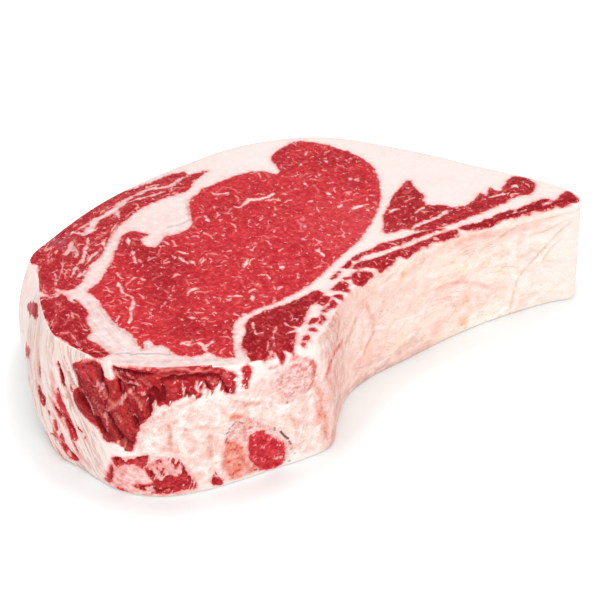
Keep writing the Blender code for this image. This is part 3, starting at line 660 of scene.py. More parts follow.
# Thin tinted lines in the fat of the top.
TOP_MARKS = {
    "greyband": (
        (-70, -72.3), (-62.8, -73.3), (-55.8, -73.4), (-48.9, -72.7), (-41.9, -72.2), (-33.2, -71.7), (-26.2,
        -72.1), (-21, -73.3),
    ),
    "line1": (
        (-72.4, -62.5), (-68.7, -64.7), (-65.1, -66.3), (-61.5, -67.1),
    ),
    "line2": (
        (-77.7, -37.7), (-75.1, -42.5), (-72.6, -46.6), (-70.9, -50.8),
    ),
    "line3": (
        (-76.1, -48.5), (-73.6, -52), (-71.9, -55.5),
    ),
    "line4": (
        (-75.9, -42.5), (-73.3, -47.3),
    ),
    "line5": ((-74.9, -43.9), (-69.4, -55.2), (-61.8, -66.2), (-54.6, -71.4)),
    "line6": ((-72.5, -59), (-66.1, -68.1), (-60.3, -71.6)),
    "line7": ((-66.9, -74.1), (-54.4, -76.6), (-41, -75.1), (-27.6, -75)),
    "line8": ((-53.4, -74.3), (-43.4, -73.4), (-32.1, -74.2), (-22.4, -73.5)),
}


# ---------------------------------------------------------------- small numeric tools


def step(low, high, value):
    """0 under low, 1 over high, eased between."""
    t = np.clip((value - low) / (high - low), 0.0, 1.0)
    return t * t * (3.0 - 2.0 * t)


def hashed(ix, iy, iz, seed):
    """A fixed number from -1 to 1 for each lattice point."""
    mixed = (ix * 374761393 + iy * 668265263 + iz * 1442695041 + seed * 974634777) & 0xFFFFFFFF
    mixed = ((mixed ^ (mixed >> 13)) * 1274126177) & 0xFFFFFFFF
    mixed = ((mixed ^ (mixed >> 16)) * 1597334677) & 0xFFFFFFFF
    return (mixed ^ (mixed >> 15)) / 4294967295.0 * 2.0 - 1.0


def noise(x, y, z, size, seed, octaves=1):
    """Smooth value noise from about -1 to 1, with lumps of the given size."""
    total, weight, strength = 0.0, 0.0, 1.0
    for octave in range(octaves):
        p = [np.asarray(v, float) / size * 2.0**octave + 100.0 + 17.3 * octave for v in (x, y, z)]
        low = [np.floor(v).astype(np.int64) for v in p]
        part = [v - k for v, k in zip(p, low)]
        part = [f * f * (3.0 - 2.0 * f) for f in part]
        value = 0.0
        for dx in (0, 1):
            for dy in (0, 1):
                for dz in (0, 1):
                    share = (
                        (part[0] if dx else 1.0 - part[0])
                        * (part[1] if dy else 1.0 - part[1])
                        * (part[2] if dz else 1.0 - part[2])
                    )
                    value = value + share * hashed(low[0] + dx, low[1] + dy, low[2] + dz, seed + 31 * octave)
        total = total + value * strength
        weight += strength
        strength *= 0.5
    return total / weight


def ridged(x, y, z, size, seed, octaves=1):
    """Noise with sharp crests, from about -1 to 1."""
    return 1.0 - 2.6 * np.abs(noise(x, y, z, size, seed, octaves))


def rounded(points, closed, rounds=1):
    """The line with its corners cut, so that it curves between the places it was given by."""
    p = np.asarray(points, float)
    for _ in range(rounds):
        if closed:
            q = np.roll(p, -1, axis=0)
            p = np.stack([p * 0.78 + q * 0.22, p * 0.22 + q * 0.78], axis=1).reshape(-1, 2)
        elif len(p) > 2:
            a, b = p[:-1], p[1:]
            mid = np.stack([a * 0.75 + b * 0.25, a * 0.25 + b * 0.75], axis=1).reshape(-1, 2)
            p = np.vstack([p[:1], mid[1:-1], p[-1:]])
    return p


def to_line(points, line):
    """Distance to an open line, and how far along it (0 to 1) the nearest place lies."""
    a, b = line[:-1], line[1:]
    run = b - a
    size = np.maximum((run**2).sum(axis=1), 1e-12)
    lengths = np.r_[0.0, np.cumsum(np.sqrt(size))]
    best = np.full(len(points), 1e9)
    along = np.zeros(len(points))
    for k in range(len(a)):
        t = np.clip(((points - a[k]) @ run[k]) / size[k], 0.0, 1.0)
        d = np.hypot(points[:, 0] - a[k, 0] - t * run[k, 0], points[:, 1] - a[k, 1] - t * run[k, 1])
        closer = d < best
        best[closer] = d[closer]
        along[closer] = (lengths[k] + t[closer] * math.sqrt(size[k])) / lengths[-1]
    return best, along


def inside_depth(points, outline, reach=5.0):
    """Distance to the closed outline, over 0 inside and under 0 outside, held to the reach."""
    depth = np.full(len(points), -reach)
    near = np.where(
        (points > outline.min(axis=0) - reach).all(axis=1) & (points < outline.max(axis=0) + reach).all(axis=1)
    )[0]
    if not len(near):
        return depth
    p = points[near]
    distance, _ = to_line(p, np.vstack([outline, outline[:1]]))
    x1, y1 = outline[:, 0], outline[:, 1]
    x2, y2 = np.roll(x1, -1), np.roll(y1, -1)
    odd = np.zeros(len(p), bool)
    for k in range(len(outline)):
        if y1[k] == y2[k]:
            continue
        spans = (y1[k] > p[:, 1]) != (y2[k] > p[:, 1])
        odd ^= spans & (p[:, 0] < (x2[k] - x1[k]) * (p[:, 1] - y1[k]) / (y2[k] - y1[k]) + x1[k])
    depth[near] = np.clip(np.where(odd, distance, -distance), -reach, reach)
    return depth


def on_stroke(points, width, line, reach=5.0):
    """Over 0 within a stroke whose ends run out thin, under 0 beside it, held to the reach."""
    value = np.full(len(points), -reach)
    line = rounded(line, closed=False)
    if len(line) == 1:
        line = np.vstack([line, line + 0.01])
    near = np.where((points > line.min(axis=0) - reach).all(axis=1) & (points < line.max(axis=0) + reach).all(axis=1))[
        0
    ]
    if len(near):
        distance, along = to_line(points[near], line)
        ends = np.minimum(along, 1.0 - along)
        half = width / 2.0 * (0.45 + 0.55 * np.clip(ends * 5.0, 0.0, 1.0))
        value[near] = np.clip(half - distance, -reach, reach)
    return value


# ---------------------------------------------------------------- the slab's skin


def top_height(x, y):
    """Height of the tilted upper cut over a place of the plan."""
    return TOP_HEIGHT + TOP_SLOPE_X * x + TOP_SLOPE_Y * y


def edge_curve():
    """The top edge as a fine closed curve: its rows and the length along it of each."""
    rows = np.array(OUTLINE)
    count, fine = len(rows), []
    for i in range(count):
        four = [rows[(i + k) % count] for k in (-1, 0, 1, 2)]
        knots = [0.0]
        for p, q in zip(four, four[1:]):
            knots.append(knots[-1] + math.hypot(*(q - p)[:2]) ** 0.5)
        for j in range(24):
            t = knots[1] + j / 24.0 * (knots[2] - knots[1])
            m = [four[a] + (four[a + 1] - four[a]) * (t - knots[a]) / (knots[a + 1] - knots[a]) for a in range(3)]
            n = [m[a] + (m[a + 1] - m[a]) * (t - knots[a]) / (knots[a + 2] - knots[a]) for a in range(2)]
            fine.append(n[0] + (n[1] - n[0]) * (t - knots[1]) / (knots[2] - knots[1]))
    fine = np.array(fine + fine[:1])
    return fine, np.r_[0.0, np.cumsum(np.hypot(*np.diff(fine[:, :2], axis=0).T))]


def unit(v):
    return v / np.maximum(np.linalg.norm(v, axis=-1, keepdims=True), 1e-12)


def turned_out(plan):
    d = unit(np.roll(plan, -1, axis=0) - np.roll(plan, 1, axis=0))
    return np.stack([d[:, 1], -d[:, 0]], axis=1)


def averaged(vectors, places, whole, reach):
    """Directions blended over a stretch of the closed edge, so that an inset round a tight corner doesn't cross itself."""
    out = np.zeros_like(vectors)
    for i, at in enumerate(places):
        gap = np.abs((places - at + whole / 2) % whole - whole / 2)
        near = gap < reach
        out[i] = (vectors[near] * (1.0 - gap[near] / reach)[:, None]).sum(axis=0)
    return unit(out)


def wall_grid():
    """The wall from the foot to the cut top: places, outward direction, u and z of each, as [row][column]."""
    fine, lengths = edge_curve()
    places, start = [], 0.0
    for until, spacing in COLUMN_STEPS:
        until = min(until, lengths[-1])
        many = max(1, round((until - start) / spacing))
        places.extend(start + (until - start) * np.arange(many) / many)
        start = until
    u = np.array(places)
    rows = np.stack([np.interp(u, lengths, fine[:, k]) for k in range(fine.shape[1])], axis=1)
    head = rows[:, :2]
    foot = head + rows[:, 2:4]
    swell, soft = rows[:, 4], rows[:, 5]
    head_out, foot_out = turned_out(head), turned_out(foot)
    under_out = averaged(foot_out, u, lengths[-1], 6.0)
    tall = top_height(head[:, 0], head[:, 1])
    grid, facing = [], []
    for k in range(FOOT_ROWS):
        a = math.pi / 2 * k / FOOT_ROWS
        plan = foot - under_out * FOOT_ROUND * (1 - math.sin(a))
        grid.append(np.c_[plan, np.full(len(u), FOOT_ROUND * (1 - math.cos(a)))])
        facing.append(np.c_[under_out * math.sin(a), np.full(len(u), -math.cos(a))])
    for k in range(WALL_ROWS):
        f = k / (WALL_ROWS - 1)
        out = unit(foot_out + (head_out - foot_out) * f)
        plan = foot + (head - foot) * f + out * (swell * 4 * f * (1 - f))[:, None]
        grid.append(np.c_[plan, FOOT_ROUND + (tall - soft - FOOT_ROUND) * f])
        facing.append(np.c_[out, np.zeros(len(u))])
    for k in range(1, HEAD_ROWS + 1):
        a = math.pi / 2 * k / HEAD_ROWS
        plan = head - head_out * (soft * (1 - math.cos(a)))[:, None]
        grid.append(np.c_[plan, top_height(plan[:, 0], plan[:, 1]) - soft * (1 - math.sin(a))])
        facing.append(np.c_[head_out * math.cos(a), np.full(len(u), math.sin(a))])
    return np.array(grid), np.array(facing), u, lengths[-1]


def lattice(low, high, spacing):
    """Even triangular lattice over a box, each place nudged a little."""
    rise = spacing * math.sqrt(3) / 2
    ys = np.arange(low[1], high[1], rise)
    xs = np.arange(low[0], high[0], spacing)
    x, y = np.meshgrid(xs, ys)
    x = x + (np.arange(len(ys)) % 2)[:, None] * spacing / 2
    x, y = x.ravel(), y.ravel()
    nudge = 0.12 * spacing
    ids = np.arange(len(x))
    return np.c_[x + nudge * hashed(ids, ids * 0, ids * 0, 5), y + nudge * hashed(ids, ids * 0 + 1, ids * 0, 6)]


def spaced(line, gap, closed):
    """Places along a line at even gaps, and the unit normal at each."""
    p = np.vstack([line, line[:1]]) if closed else line
    lengths = np.r_[0.0, np.cumsum(np.hypot(*np.diff(p, axis=0).T))]
    many = max(2, round(lengths[-1] / gap))
    at = lengths[-1] * np.arange(many) / many if closed else np.linspace(0.0, lengths[-1], many)
    q = np.stack([np.interp(at, lengths, p[:, k]) for k in range(2)], axis=1)
    d = np.roll(q, -1, axis=0) - np.roll(q, 1, axis=0) if closed else np.gradient(q, axis=0)
    d = unit(d)
    return q, np.stack([d[:, 1], -d[:, 0]], axis=1)


def thinned(points, gap):
    """The points with all but the first in each small cell left out."""
    kept, used = [], set()
    for p in points:
        key = (round(p[0] / gap), round(p[1] / gap))
        if key not in used:
            used.add(key)
            kept.append(p)
    return np.array(kept)


def feature_points():
    """Extra places on the top, along every edge of lean and every seam, so that the borders there come out crisp."""
    found = []
    for outline in TOP_LEAN.values():
        q, n = spaced(rounded(outline, closed=True), 0.66, closed=True)
        found += [q, q + n * 0.42, q - n * 0.42]
    for width, line in TOP_SEAMS + TOP_SHADE:
        line = rounded(line, closed=False)
        q, n = spaced(line, 0.7, closed=False)
        found += [q, q + n * width / 2, q - n * width / 2]
    for line in TOP_MARKS.values():
        q, n = spaced(rounded(line, closed=False), 0.8, closed=False)
        found += [q, q + n * 0.5, q - n * 0.5]
    flecks = np.array(TOP_FLECKS)
    for k in range(6):
        a = math.pi / 3 * k
        found.append(flecks + 0.6 * np.array([math.cos(a), math.sin(a)]))
    return thinned(np.vstack([flecks] + found), 0.4)


def cap_points(ring, spacing, extra):
    """Places that fill the ring: the extra ones, and a lattice that keeps clear of them."""
    field = lattice(ring.min(axis=0), ring.max(axis=0), spacing)
    if extra is not None and len(extra):
        tree = kdtree.KDTree(len(extra))
        for i, p in enumerate(extra):
            tree.insert((p[0], p[1], 0.0), i)
        tree.balance()
        clear = [tree.find((p[0], p[1], 0.0))[2] > 0.62 * spacing for p in field]
        field = np.vstack([extra, field[np.array(clear)]])
    return field[inside_depth(field, ring, reach=spacing) > 0.5 * spacing]


def triangles(ring, inner):
    """Triangles over the ring and the places inside it. The ring's places come first."""
    points = np.vstack([ring, inner])
    count = len(ring)
    edges = [(i, (i + 1) % count) for i in range(count)]
    made, _, faces, source, _, _ = geometry.delaunay_2d_cdt(
        [Vector(p) for p in points], edges, [list(range(count))], 1, 1e-6
    )
    first = [s[0] for s in source]
    faces = np.array([[first[i] for i in f] for f in faces if len(f) == 3])
    a, b, c = points[faces[:, 0]], points[faces[:, 1]], points[faces[:, 2]]
    turned = (b[:, 0] - a[:, 0]) * (c[:, 1] - a[:, 1]) - (b[:, 1] - a[:, 1]) * (c[:, 0] - a[:, 0]) < 0
    faces[turned] = faces[turned][:, ::-1]
    return faces


# ---------------------------------------------------------------- what the flesh is like at each place

FIELDS = ("lean", "deep", "bony", "cream", "blush", "stain_and_shade", "fold", "spongy", "streaky", "warm", "ridge", "gleam",
          "jumble", "spiky")


def blank(count):
    made = {name: np.zeros(count) for name in FIELDS}
    made["lean"][:] = -5.0
    return made


def spot(points, x, y, radius):
    return step(radius, radius * 0.25, np.hypot(points[:, 0] - x, points[:, 1] - y))


# Places of the eye where the lean is a little deeper red: x, y, radius, how much.
PATCH = ((335.0, 1.5), (336.0, 9.0), (339.5, 17.5), (344.0, 19.5), (352.0, 21.5), (361.0, 19.8), (366.0, 13.0), (370.5, 4.0),
         (369.0, 1.0), (352.0, 0.4), (340.0, 0.4))
EYE_DEEP = (
    (-52.0, -14.0, 16.0, 0.35),
    (-48.0, -34.0, 14.0, 0.3),
    (-40.0, -52.0, 12.0, 0.35),
    (-24.0, -56.0, 12.0, 0.3),
    (-8.0, 62.0, 14.0, 0.25),
    (14.0, 60.0, 16.0, 0.3),
    (-30.0, 24.0, 14.0, 0.2),
    (12.0, 14.0, 12.0, 0.2),
    (-62.0, -4.0, 10.0, 0.25),
    (22.0, 44.0, 10.0, 0.25),
    (18.0, 14.0, 26.0, -0.34),
    (-60.0, 3.0, 18.0, 0.28),
    (-52.0, -20.0, 20.0, 0.15),
)
DEEP_TOP = {"dark": 0.7, "cap": 0.36, "lobe": 0.55, "tail": 0.55, "p1": 0.7, "p2": 0.7, "p3": 0.6, "s3": 0.6,
            "s456": 0.85, "s7": 0.7}
DEEP_WALL = {"M": 0.5, "L1": 0.6, "L1b": 0.5, "L2": 0.5, "disc": 0.14, "B1": 0.3, "D1": 0.5, "D2": 0.5, "R1": 0.6,
             "R2": 0.55, "R3": 0.62, "R4": 0.6, "R5": 0.5}


# Brighter and darker places of the torn muscle in front: u, z, radius, how much.
MUSCLE_PATCHES = (
    (331.0, 55.0, 7.0, -0.45),
    (348.5, 46.5, 5.0, -0.4),
    (337.0, 46.0, 5.0, -0.25),
    (343.0, 29.0, 8.0, 0.3),
    (329.0, 38.0, 6.0, 0.2),
    (356.0, 49.0, 5.0, 0.25),
    (366.0, 52.0, 6.0, 0.1),
    (382.0, 52.0, 5.0, -0.15),
)


# Where the silvery skin lies: x, y, radius.
SILVER = ((-91.0, 1.0, 7.5), (-86.0, -6.0, 6.0))


def top_fields(points):
    made = blank(len(points))
    for name, outline in TOP_LEAN.items():
        depth = inside_depth(points, rounded(outline, closed=True))
        if name == "lobe":
            depth = depth + 0.5
        made["lean"] = np.maximum(made["lean"], depth)
        deep = DEEP_TOP.get(name, 0.0 if name == "eye" else 0.6)
        made["deep"] = np.maximum(made["deep"], deep * step(-0.6, 0.8, depth))
    for x, y, radius, much in EYE_DEEP:
        made["deep"] = made["deep"] + much * spot(points, x, y, radius)
    uneven = noise(points[:, 0], points[:, 1], points[:, 0] * 0, 1.7, 33, 2)
    for width, line in TOP_SEAMS:
        by_stub = line[0][0] > -20.0 and line[0][1] < -40.0
        in_cap = line[0][0] < -44.0 and line[0][1] > 0.0
        stroke = on_stroke(points, (0.6 if by_stub else 1.0 if in_cap else 0.8) * width, line)
        made["lean"] = np.minimum(made["lean"], -stroke - 0.5 * uneven * (stroke > -4.0))
    for x, y in TOP_FLECKS:
        a = 7.3 * x + 3.1 * y
        along = (points[:, 0] - x) * math.cos(a) + (points[:, 1] - y) * math.sin(a)
        across = (points[:, 1] - y) * math.cos(a) - (points[:, 0] - x) * math.sin(a)
        made["lean"] = np.minimum(made["lean"], np.hypot(along / 2.1, across) - 0.62)
    # Painted shade in the thin folds of the top fat.
    for width, line in TOP_SHADE:
        made["stain_and_shade"] = np.maximum(made["stain_and_shade"], 0.45 * step(-0.5, 0.4, on_stroke(points, 0.6 * width, line)))
    for name, line in TOP_MARKS.items():
        width, much = (1.3, 0.24) if name == "greyband" else (0.7, 0.24)
        made["stain_and_shade"] = np.maximum(made["stain_and_shade"], much * step(-0.6, 0.5, on_stroke(points, width, line)))
    made["blush"] = 0.14 * step(-3.5, 0.0, made["lean"])
    # The fat behind is whiter than the fat between the muscles.
    made["cream"] = 0.12 + 0.2 * step(-40.0, 60.0, points[:, 0] + points[:, 1])
    made["blush"] = made["blush"] + 0.16 * step(20.0, -70.0, points[:, 0] + 0.4 * points[:, 1])
    low_left = step(-18.0, -46.0, points[:, 0]) * step(-30.0, -52.0, points[:, 1])
    low_left = np.maximum(low_left, step(-56.0, -70.0, points[:, 1]) * step(0.0, -20.0, points[:, 0]))
    made["streaky"] = 0.3 * low_left * step(-0.3, -1.4, made["lean"])
    # A film of silvery skin over the outer muscle at the far left.
    made["fold"] = np.maximum(spot(points, *SILVER[0]), spot(points, *SILVER[1]))
    for name, much in (("cap", 1.0), ("lobe", 0.75), ("tail", 0.55), ("s3", 0.35), ("p3", 0.35), ("s456", 0.4), ("dark", 0.25)):
        depth = inside_depth(points, rounded(TOP_LEAN[name], closed=True))
        made["streaky"] = np.maximum(made["streaky"], much * step(-0.5, 0.5, depth))
    return made


def fibre_chart(points):
    """Along and across the run of the muscle fibres at a place of the plan, in millimetres."""
    x, y = points[:, 0], points[:, 1]
    # Round the eye's left side the outer muscle follows an arc; along the rib the strips run with it.
    arc = np.arctan2(y + 22.0, x + 25.0)
    arc = np.where(arc < -1.0, arc + 2 * math.pi, arc)
    radius = np.hypot(x + 25.0, y + 22.0)
    off_eye = inside_depth(points, np.array(TOP_LEAN["eye"])) < -0.5
    outer = off_eye & (x < -36.0) & (y > -69.0)
    by_rib = (x > 10.0) & off_eye
    slant = math.radians(29.0)
    dark = (inside_depth(points, np.array(TOP_LEAN["dark"])) > -0.5)
    tilt = math.radians(75.0)
    along = x * 0.97 + y * 0.24
    across = y * 0.97 - x * 0.24
    along, across = (
        np.where(by_rib, x * math.cos(slant) + y * math.sin(slant) + 300.0, along),
        np.where(by_rib, y * math.cos(slant) - x * math.sin(slant) + 300.0, across),
    )
    along, across = (
        np.where(dark, x * math.cos(tilt) + y * math.sin(tilt) + 600.0, along),
        np.where(dark, y * math.cos(tilt) - x * math.sin(tilt) + 600.0, across),
    )
    along, across = np.where(outer, arc * 70.0 + 1000.0, along), np.where(outer, radius + 1000.0, across)
    return np.c_[along, across]


def wall_fields(u, z, length):
    p = np.c_[u, z]
    made = blank(len(u))
    # At the left the patches of lean are torn at their edges.
    torn_left = step(336.0, 326.0, u) * step(262.0, 280.0, u)
    shaken = p + torn_left[:, None] * np.c_[
        1.3 * noise(u, z * 0.4, z * 0, 3.2, 141, 3), 2.6 * noise(u, z * 0.4, z * 0, 3.6, 142, 2)
    ]
    for name, outline in WALL_LEAN.items():
        depth = inside_depth(shaken, rounded(outline, closed=True))
        if name == "disc":
            depth = depth + 1.5 * noise(u, z, z * 0, 3.4, 121, 3)
        made["lean"] = np.maximum(made["lean"], depth)
        made["deep"] = np.maximum(made["deep"], DEEP_WALL.get(name, 0.35) * step(-0.6, 0.8, depth))
    # Lean of the cut top that hangs over the edge in ragged lumps.
    below = np.interp(u, columns, LIP_HEIGHT) - z
    reach = np.interp(u, (394.0, 398.0, 424.0, 436.0, 562.0), (1.2, 3.4, 3.0, 1.5, 1.0))
    hang = np.clip(np.interp(u, columns, LIP_LEAN), -5.0, 1.2) - 1.2 * below / reach
    hang = hang + 1.3 * noise(u, z, z * 0, 3.6, 122, 2) * step(0.0, 1.0, below)
    hang = np.clip(hang - 6.0 * (1.0 - step(392.0, 396.0, u) * step(562.0, 558.0, u)), -5.0, 5.0)
    made["lean"] = np.maximum(made["lean"], hang)
    made["deep"] = np.maximum(made["deep"], 0.75 * step(-0.6, 0.8, hang))
    for width, line in WALL_SEAMS:
        rough = line[0][0] < 356.0 and line[0][1] > 26.0
        low_red = line[0][1] < 24.0
        stroke = on_stroke(p, (1.45 if low_red else 0.5 if rough or line[0][1] > 45.0 else 0.8) * width, line)
        made["lean"] = np.minimum(made["lean"], -stroke)
    made["lean"] = np.clip(made["lean"] * (1.0 + 1.2 * step(334.0, 322.0, u)), -5.0, 5.0)
    disc = inside_depth(p, rounded(WALL_LEAN["disc"], closed=True))
    made["spongy"] = step(-0.5, 0.8, disc + 1.5 * noise(u, z, z * 0, 3.4, 121, 3))
    for name in ("facet", "vert"):
        zone = inside_depth(p, rounded(WALL_MARKS[name], closed=True))
        made["spongy"] = np.maximum(made["spongy"], 0.85 * step(-1.6, 2.6, zone + 1.8 * noise(u, z, z * 0, 3.8, 123, 3)))
    made["bony"] = step(-2.0, 1.5, inside_depth(p, rounded(WALL_MARKS["bonezone"], closed=True)))
    for width, much, line in WALL_BLUSH:
        made["blush"] = np.maximum(made["blush"], much * step(-1.0, 0.6, on_stroke(p, width, line)))
    orange = inside_depth(p, rounded(WALL_MARKS["orange"], closed=True))
    made["blush"] = np.maximum(made["blush"], 1.0 * step(-1.0, 2.0, orange))
    made["spongy"] = made["spongy"] * (1.0 - 0.8 * step(-1.0, 1.0, orange))
    for width, line in WALL_DARK:
        made["stain_and_shade"] = np.maximum(made["stain_and_shade"], 1.0 * step(-0.45, 0.25, on_stroke(p, width, line)))
    # The rib's face is cream; the skin of fat at the left is between the two.
    rib = step(414.0, 426.0, u)
    made["cream"] = 0.35 + 0.65 * rib * (1.0 - 0.75 * step(500.0, 560.0, u))
    made["cream"] = np.where(u < 283.0, 0.35 + 0.3 * step(60.0, 10.0, u), made["cream"])
    # Painted shade along the foot of the rib's face, darker towards the floor.
    grey = on_stroke(p, 5.0, WALL_MARKS["greyline"])
    made["stain_and_shade"] = np.maximum(made["stain_and_shade"], rib * 0.30 * step(-4.5, 1.0, grey))
    foot_shade = step(9.0, 0.0, z + 2.5 * noise(u, z, z * 0, 6.0, 78, 2)) * rib
    made["stain_and_shade"] = np.maximum(made["stain_and_shade"], 0.26 * foot_shade * step(520.0, 480.0, u))
    brown = inside_depth(p, rounded(WALL_MARKS["spotA"], closed=True))
    brown = brown + 1.6 * noise(u, z, z * 0, 2.4, 77, 2)
    made["stain_and_shade"] = np.maximum(made["stain_and_shade"], 0.3 * step(-0.2, 2.4, brown))
    smear = on_stroke(p, 3.0, np.array(((462.0, 3.0), (470.2, 5.2), (480.5, 8.5), (488.0, 11.1))))
    smear = smear + 2.2 * noise(u, z, z * 0, 3.0, 79, 3)
    made["stain_and_shade"] = np.maximum(made["stain_and_shade"], 0.4 * step(-1.6, 1.8, smear))
    for name, radius, much in (("spotB", 2.4, 0.4), ("spotC", 2.6, 0.42), ("spotD", 3.0, 0.5)):
        x, y = WALL_MARKS[name][0]
        made["stain_and_shade"] = np.maximum(made["stain_and_shade"], much * spot(p, x, y, radius * 1.5))
    for x, y, radius, much in RIB_SPOTS:
        made["stain_and_shade"] = np.maximum(made["stain_and_shade"], much * spot(p + np.c_[0.8 * noise(u, z, z * 0, 3.0, 76), z * 0], x, y, radius))
    for name, width in (("fold1", 0.8), ("foldA", 0.5), ("foldB", 0.5), ("foldC", 0.5)):
        made["fold"] = np.maximum(made["fold"], step(-0.6, 0.3, on_stroke(p, width, WALL_MARKS[name])))
    near_stub = step(462.0, 424.0, u) * rib
    streak = noise(u, z * 0.35, z * 0, 2.6, 71, 2)
    made["blush"] = np.maximum(made["blush"], near_stub * 0.42 * step(0.05, 0.7, streak))
    made["blush"] = made["blush"] + rib * 0.20 * step(520.0, 425.0, u)
    made["warm"] = rib * (0.25 + 0.75 * step(0.0, 0.8, noise(u, z, z * 0, 17.0, 73, 2)))
    for name in ("spotB", "spotC", "spotD"):
        made["warm"] = np.maximum(made["warm"], spot(p, *WALL_MARKS[name][0], 6.0))
    made["warm"] = np.maximum(made["warm"], 0.5 * step(285.0, 300.0, u) * step(334.0, 322.0, u))
    for x, y, radius, much in RIB_SPOTS[:4]:
        made["warm"] = np.maximum(made["warm"], spot(p, x, y, 2.5 * radius))
    # The mottled patch low in the left of the front.
    patch = inside_depth(p, rounded(PATCH, closed=True))
    made["blush"] = np.maximum(made["blush"], 0.42 * step(-0.5, 1.5, patch))
    made["spongy"] = np.maximum(made["spongy"], 0.55 * step(-0.5, 1.5, patch))
    left = step(276.0, 290.0, u) * step(345.0, 330.0, u)
    behind = step(287.0, 276.0, u)
    seam = ridged(u * 0.3, z, z * 0, 13.0, 131, 4)
    broken = step(-0.1, 0.5, noise(u, z, z * 0, 11.0, 136, 2))
    made["stain_and_shade"] = np.maximum(made["stain_and_shade"], behind * 0.13 * broken * step(0.9, 1.0, seam))
    made["warm"] = np.maximum(made["warm"], behind * 0.7 * step(-0.1, 0.7, noise(u, z, z * 0, 24.0, 132, 2)))
    made["blush"] = np.maximum(made["blush"], behind * 0.22 * step(0.0, 0.8, noise(u * 0.5, z, z * 0, 13.0, 133, 3)))
    left = np.maximum(left, 0.3 * behind * step(-0.2, 0.6, noise(u * 0.4, z, z * 0, 18.0, 134, 2)))
    made["streaky"] = np.maximum(left * 0.8, 0.9 * step(0.0, 1.0, inside_depth(p, rounded(WALL_LEAN["M"], closed=True))) * step(385.0, 340.0, u))
    # Thin slanting streaks of lean in the fat at the left, besides the drawn ones.
    slant = u + 0.33 * z
    thin = noise(slant, z * 0.16, z * 0, 2.3, 81, 2) + 0.35 * noise(u, z, z * 0, 9.0, 82)
    zone = step(298.0, 308.0, u) * step(334.0, 326.0, u) * step(58.0, 48.0, z)
    more = (thin - 0.46) * 3.4 - 6.0 * (1.0 - zone)
    made["lean"] = np.maximum(made["lean"], np.clip(more, -5.0, 0.8))
    made["deep"] = np.maximum(made["deep"], 0.2 * zone)
    made["blush"] = np.maximum(made["blush"], zone * 0.35 * step(0.0, 0.5, thin))
    made["streaky"] = np.maximum(made["streaky"], 0.7 * rib * step(448.0, 432.0, u))
    main = step(0.0, 1.0, inside_depth(p, rounded(WALL_LEAN["M"], closed=True)))
    made["blush"] = np.maximum(made["blush"], 0.5 * main * step(362.0, 356.0, u))
    # Lumps of torn muscle, and the spiky ends of tendon.
    low_red = np.maximum(
        inside_depth(p, rounded(WALL_LEAN["R2"], closed=True)), inside_depth(p, rounded(WALL_LEAN["R3"], closed=True))
    )
    made["deep"] = np.where(main * step(352.0, 358.0, u) > 0.0, 0.42 + 0.1 * main, made["deep"])
    for x, y, radius, much in MUSCLE_PATCHES:
        made["deep"] = np.clip(made["deep"] + much * main * spot(p, x, y, radius), -0.3, 1.0)
    made["jumble"] = np.maximum(main * (0.25 + 0.75 * step(358.0, 350.0, u)), 0.35 * step(0.0, 1.0, low_red))
    made["spiky"] = np.maximum(
        step(351.0, 356.0, u) * step(395.0, 388.0, u) * step(34.0, 38.0, z) * step(56.0, 53.5, z)
        * (1.0 - 0.4 * step(371.0, 377.0, u)),
        0.6 * step(342.0, 346.0, u) * step(372.0, 366.0, u) * step(28.0, 24.0, z),
    )
    # Crests and hollows: upright ridges at the left, torn lumps in front, gentle swells over the rib. They shape the
    # wall, and the colours take painted shade in the hollows and painted highlight on the crests from them.
    zero = z * 0
    front = step(326.0, 334.0, u) * step(426.0, 416.0, u)
    at_left = step(279.0, 290.0, u) * (1.0 - step(326.0, 334.0, u))
    in_lean = step(-0.4, 0.8, made["lean"])
    ridge = at_left * (0.65 * ridged(slant, z * 0.10, zero, 5.0, 91, 2) + 0.3 * noise(slant, z * 0.25, zero, 2.0, 92))
    lumps = 0.6 * ridged(u + 0.25 * z, z * 0.55, zero, 7.5, 93, 2) + 0.4 * noise(u, z, zero, 2.6, 94, 2)
    torn = 0.62 * ridged(u, z * 0.8, zero, 9.0, 95, 3) + 0.4 * noise(u, z, zero, 2.4, 96, 2)
    # Right of the flap the lean lies in level bands.
    level = 0.3 * ridged(u * 0.1, z, zero, 4.6, 101, 2) + 0.5 * noise(u, z, zero, 3.0, 102, 2)
    banded = step(351.0, 355.0, u)
    lumps = lumps * (1.0 - banded) + level * banded
    ridge = ridge + front * (in_lean * lumps + (1.0 - in_lean) * torn)
    ridge = ridge + behind * (0.5 * noise(u * 0.5, z, zero, 12.0, 135, 3) - 0.3 * broken * step(0.9, 1.0, seam))
    ridge = ridge + rib * (0.8 * noise(u + 0.8 * z, z * 1.6, zero, 22.0, 97, 3) + 0.2 * noise(u, z, zero, 3.4, 98, 2))
    ridge = 0.8 * ridge * (1.0 - 0.8 * made["spongy"])
    wander = np.c_[u + 0.5 * noise(u, z, zero, 2.2, 111), z + 0.5 * noise(u, z, zero, 2.2, 112)]
    # Creases sink the relief and gleams raise it; the colours turn them into painted shade and painted highlight.
    for width, line in WALL_CREASE:
        ridge = ridge - (1.5 - 0.9 * made["bony"]) * step(-0.6, 0.5, on_stroke(wander, 0.8 * width, line))
    for width, line in WALL_GLEAM:
        over = step(-0.4, 0.35, on_stroke(wander, 0.8 * width, line))
        made["gleam"] = np.maximum(made["gleam"], over)
        ridge = ridge + (0.6 - 0.2 * made["bony"]) * over
    made["ridge"] = np.clip(ridge, -1.2, 1.2)
    return made


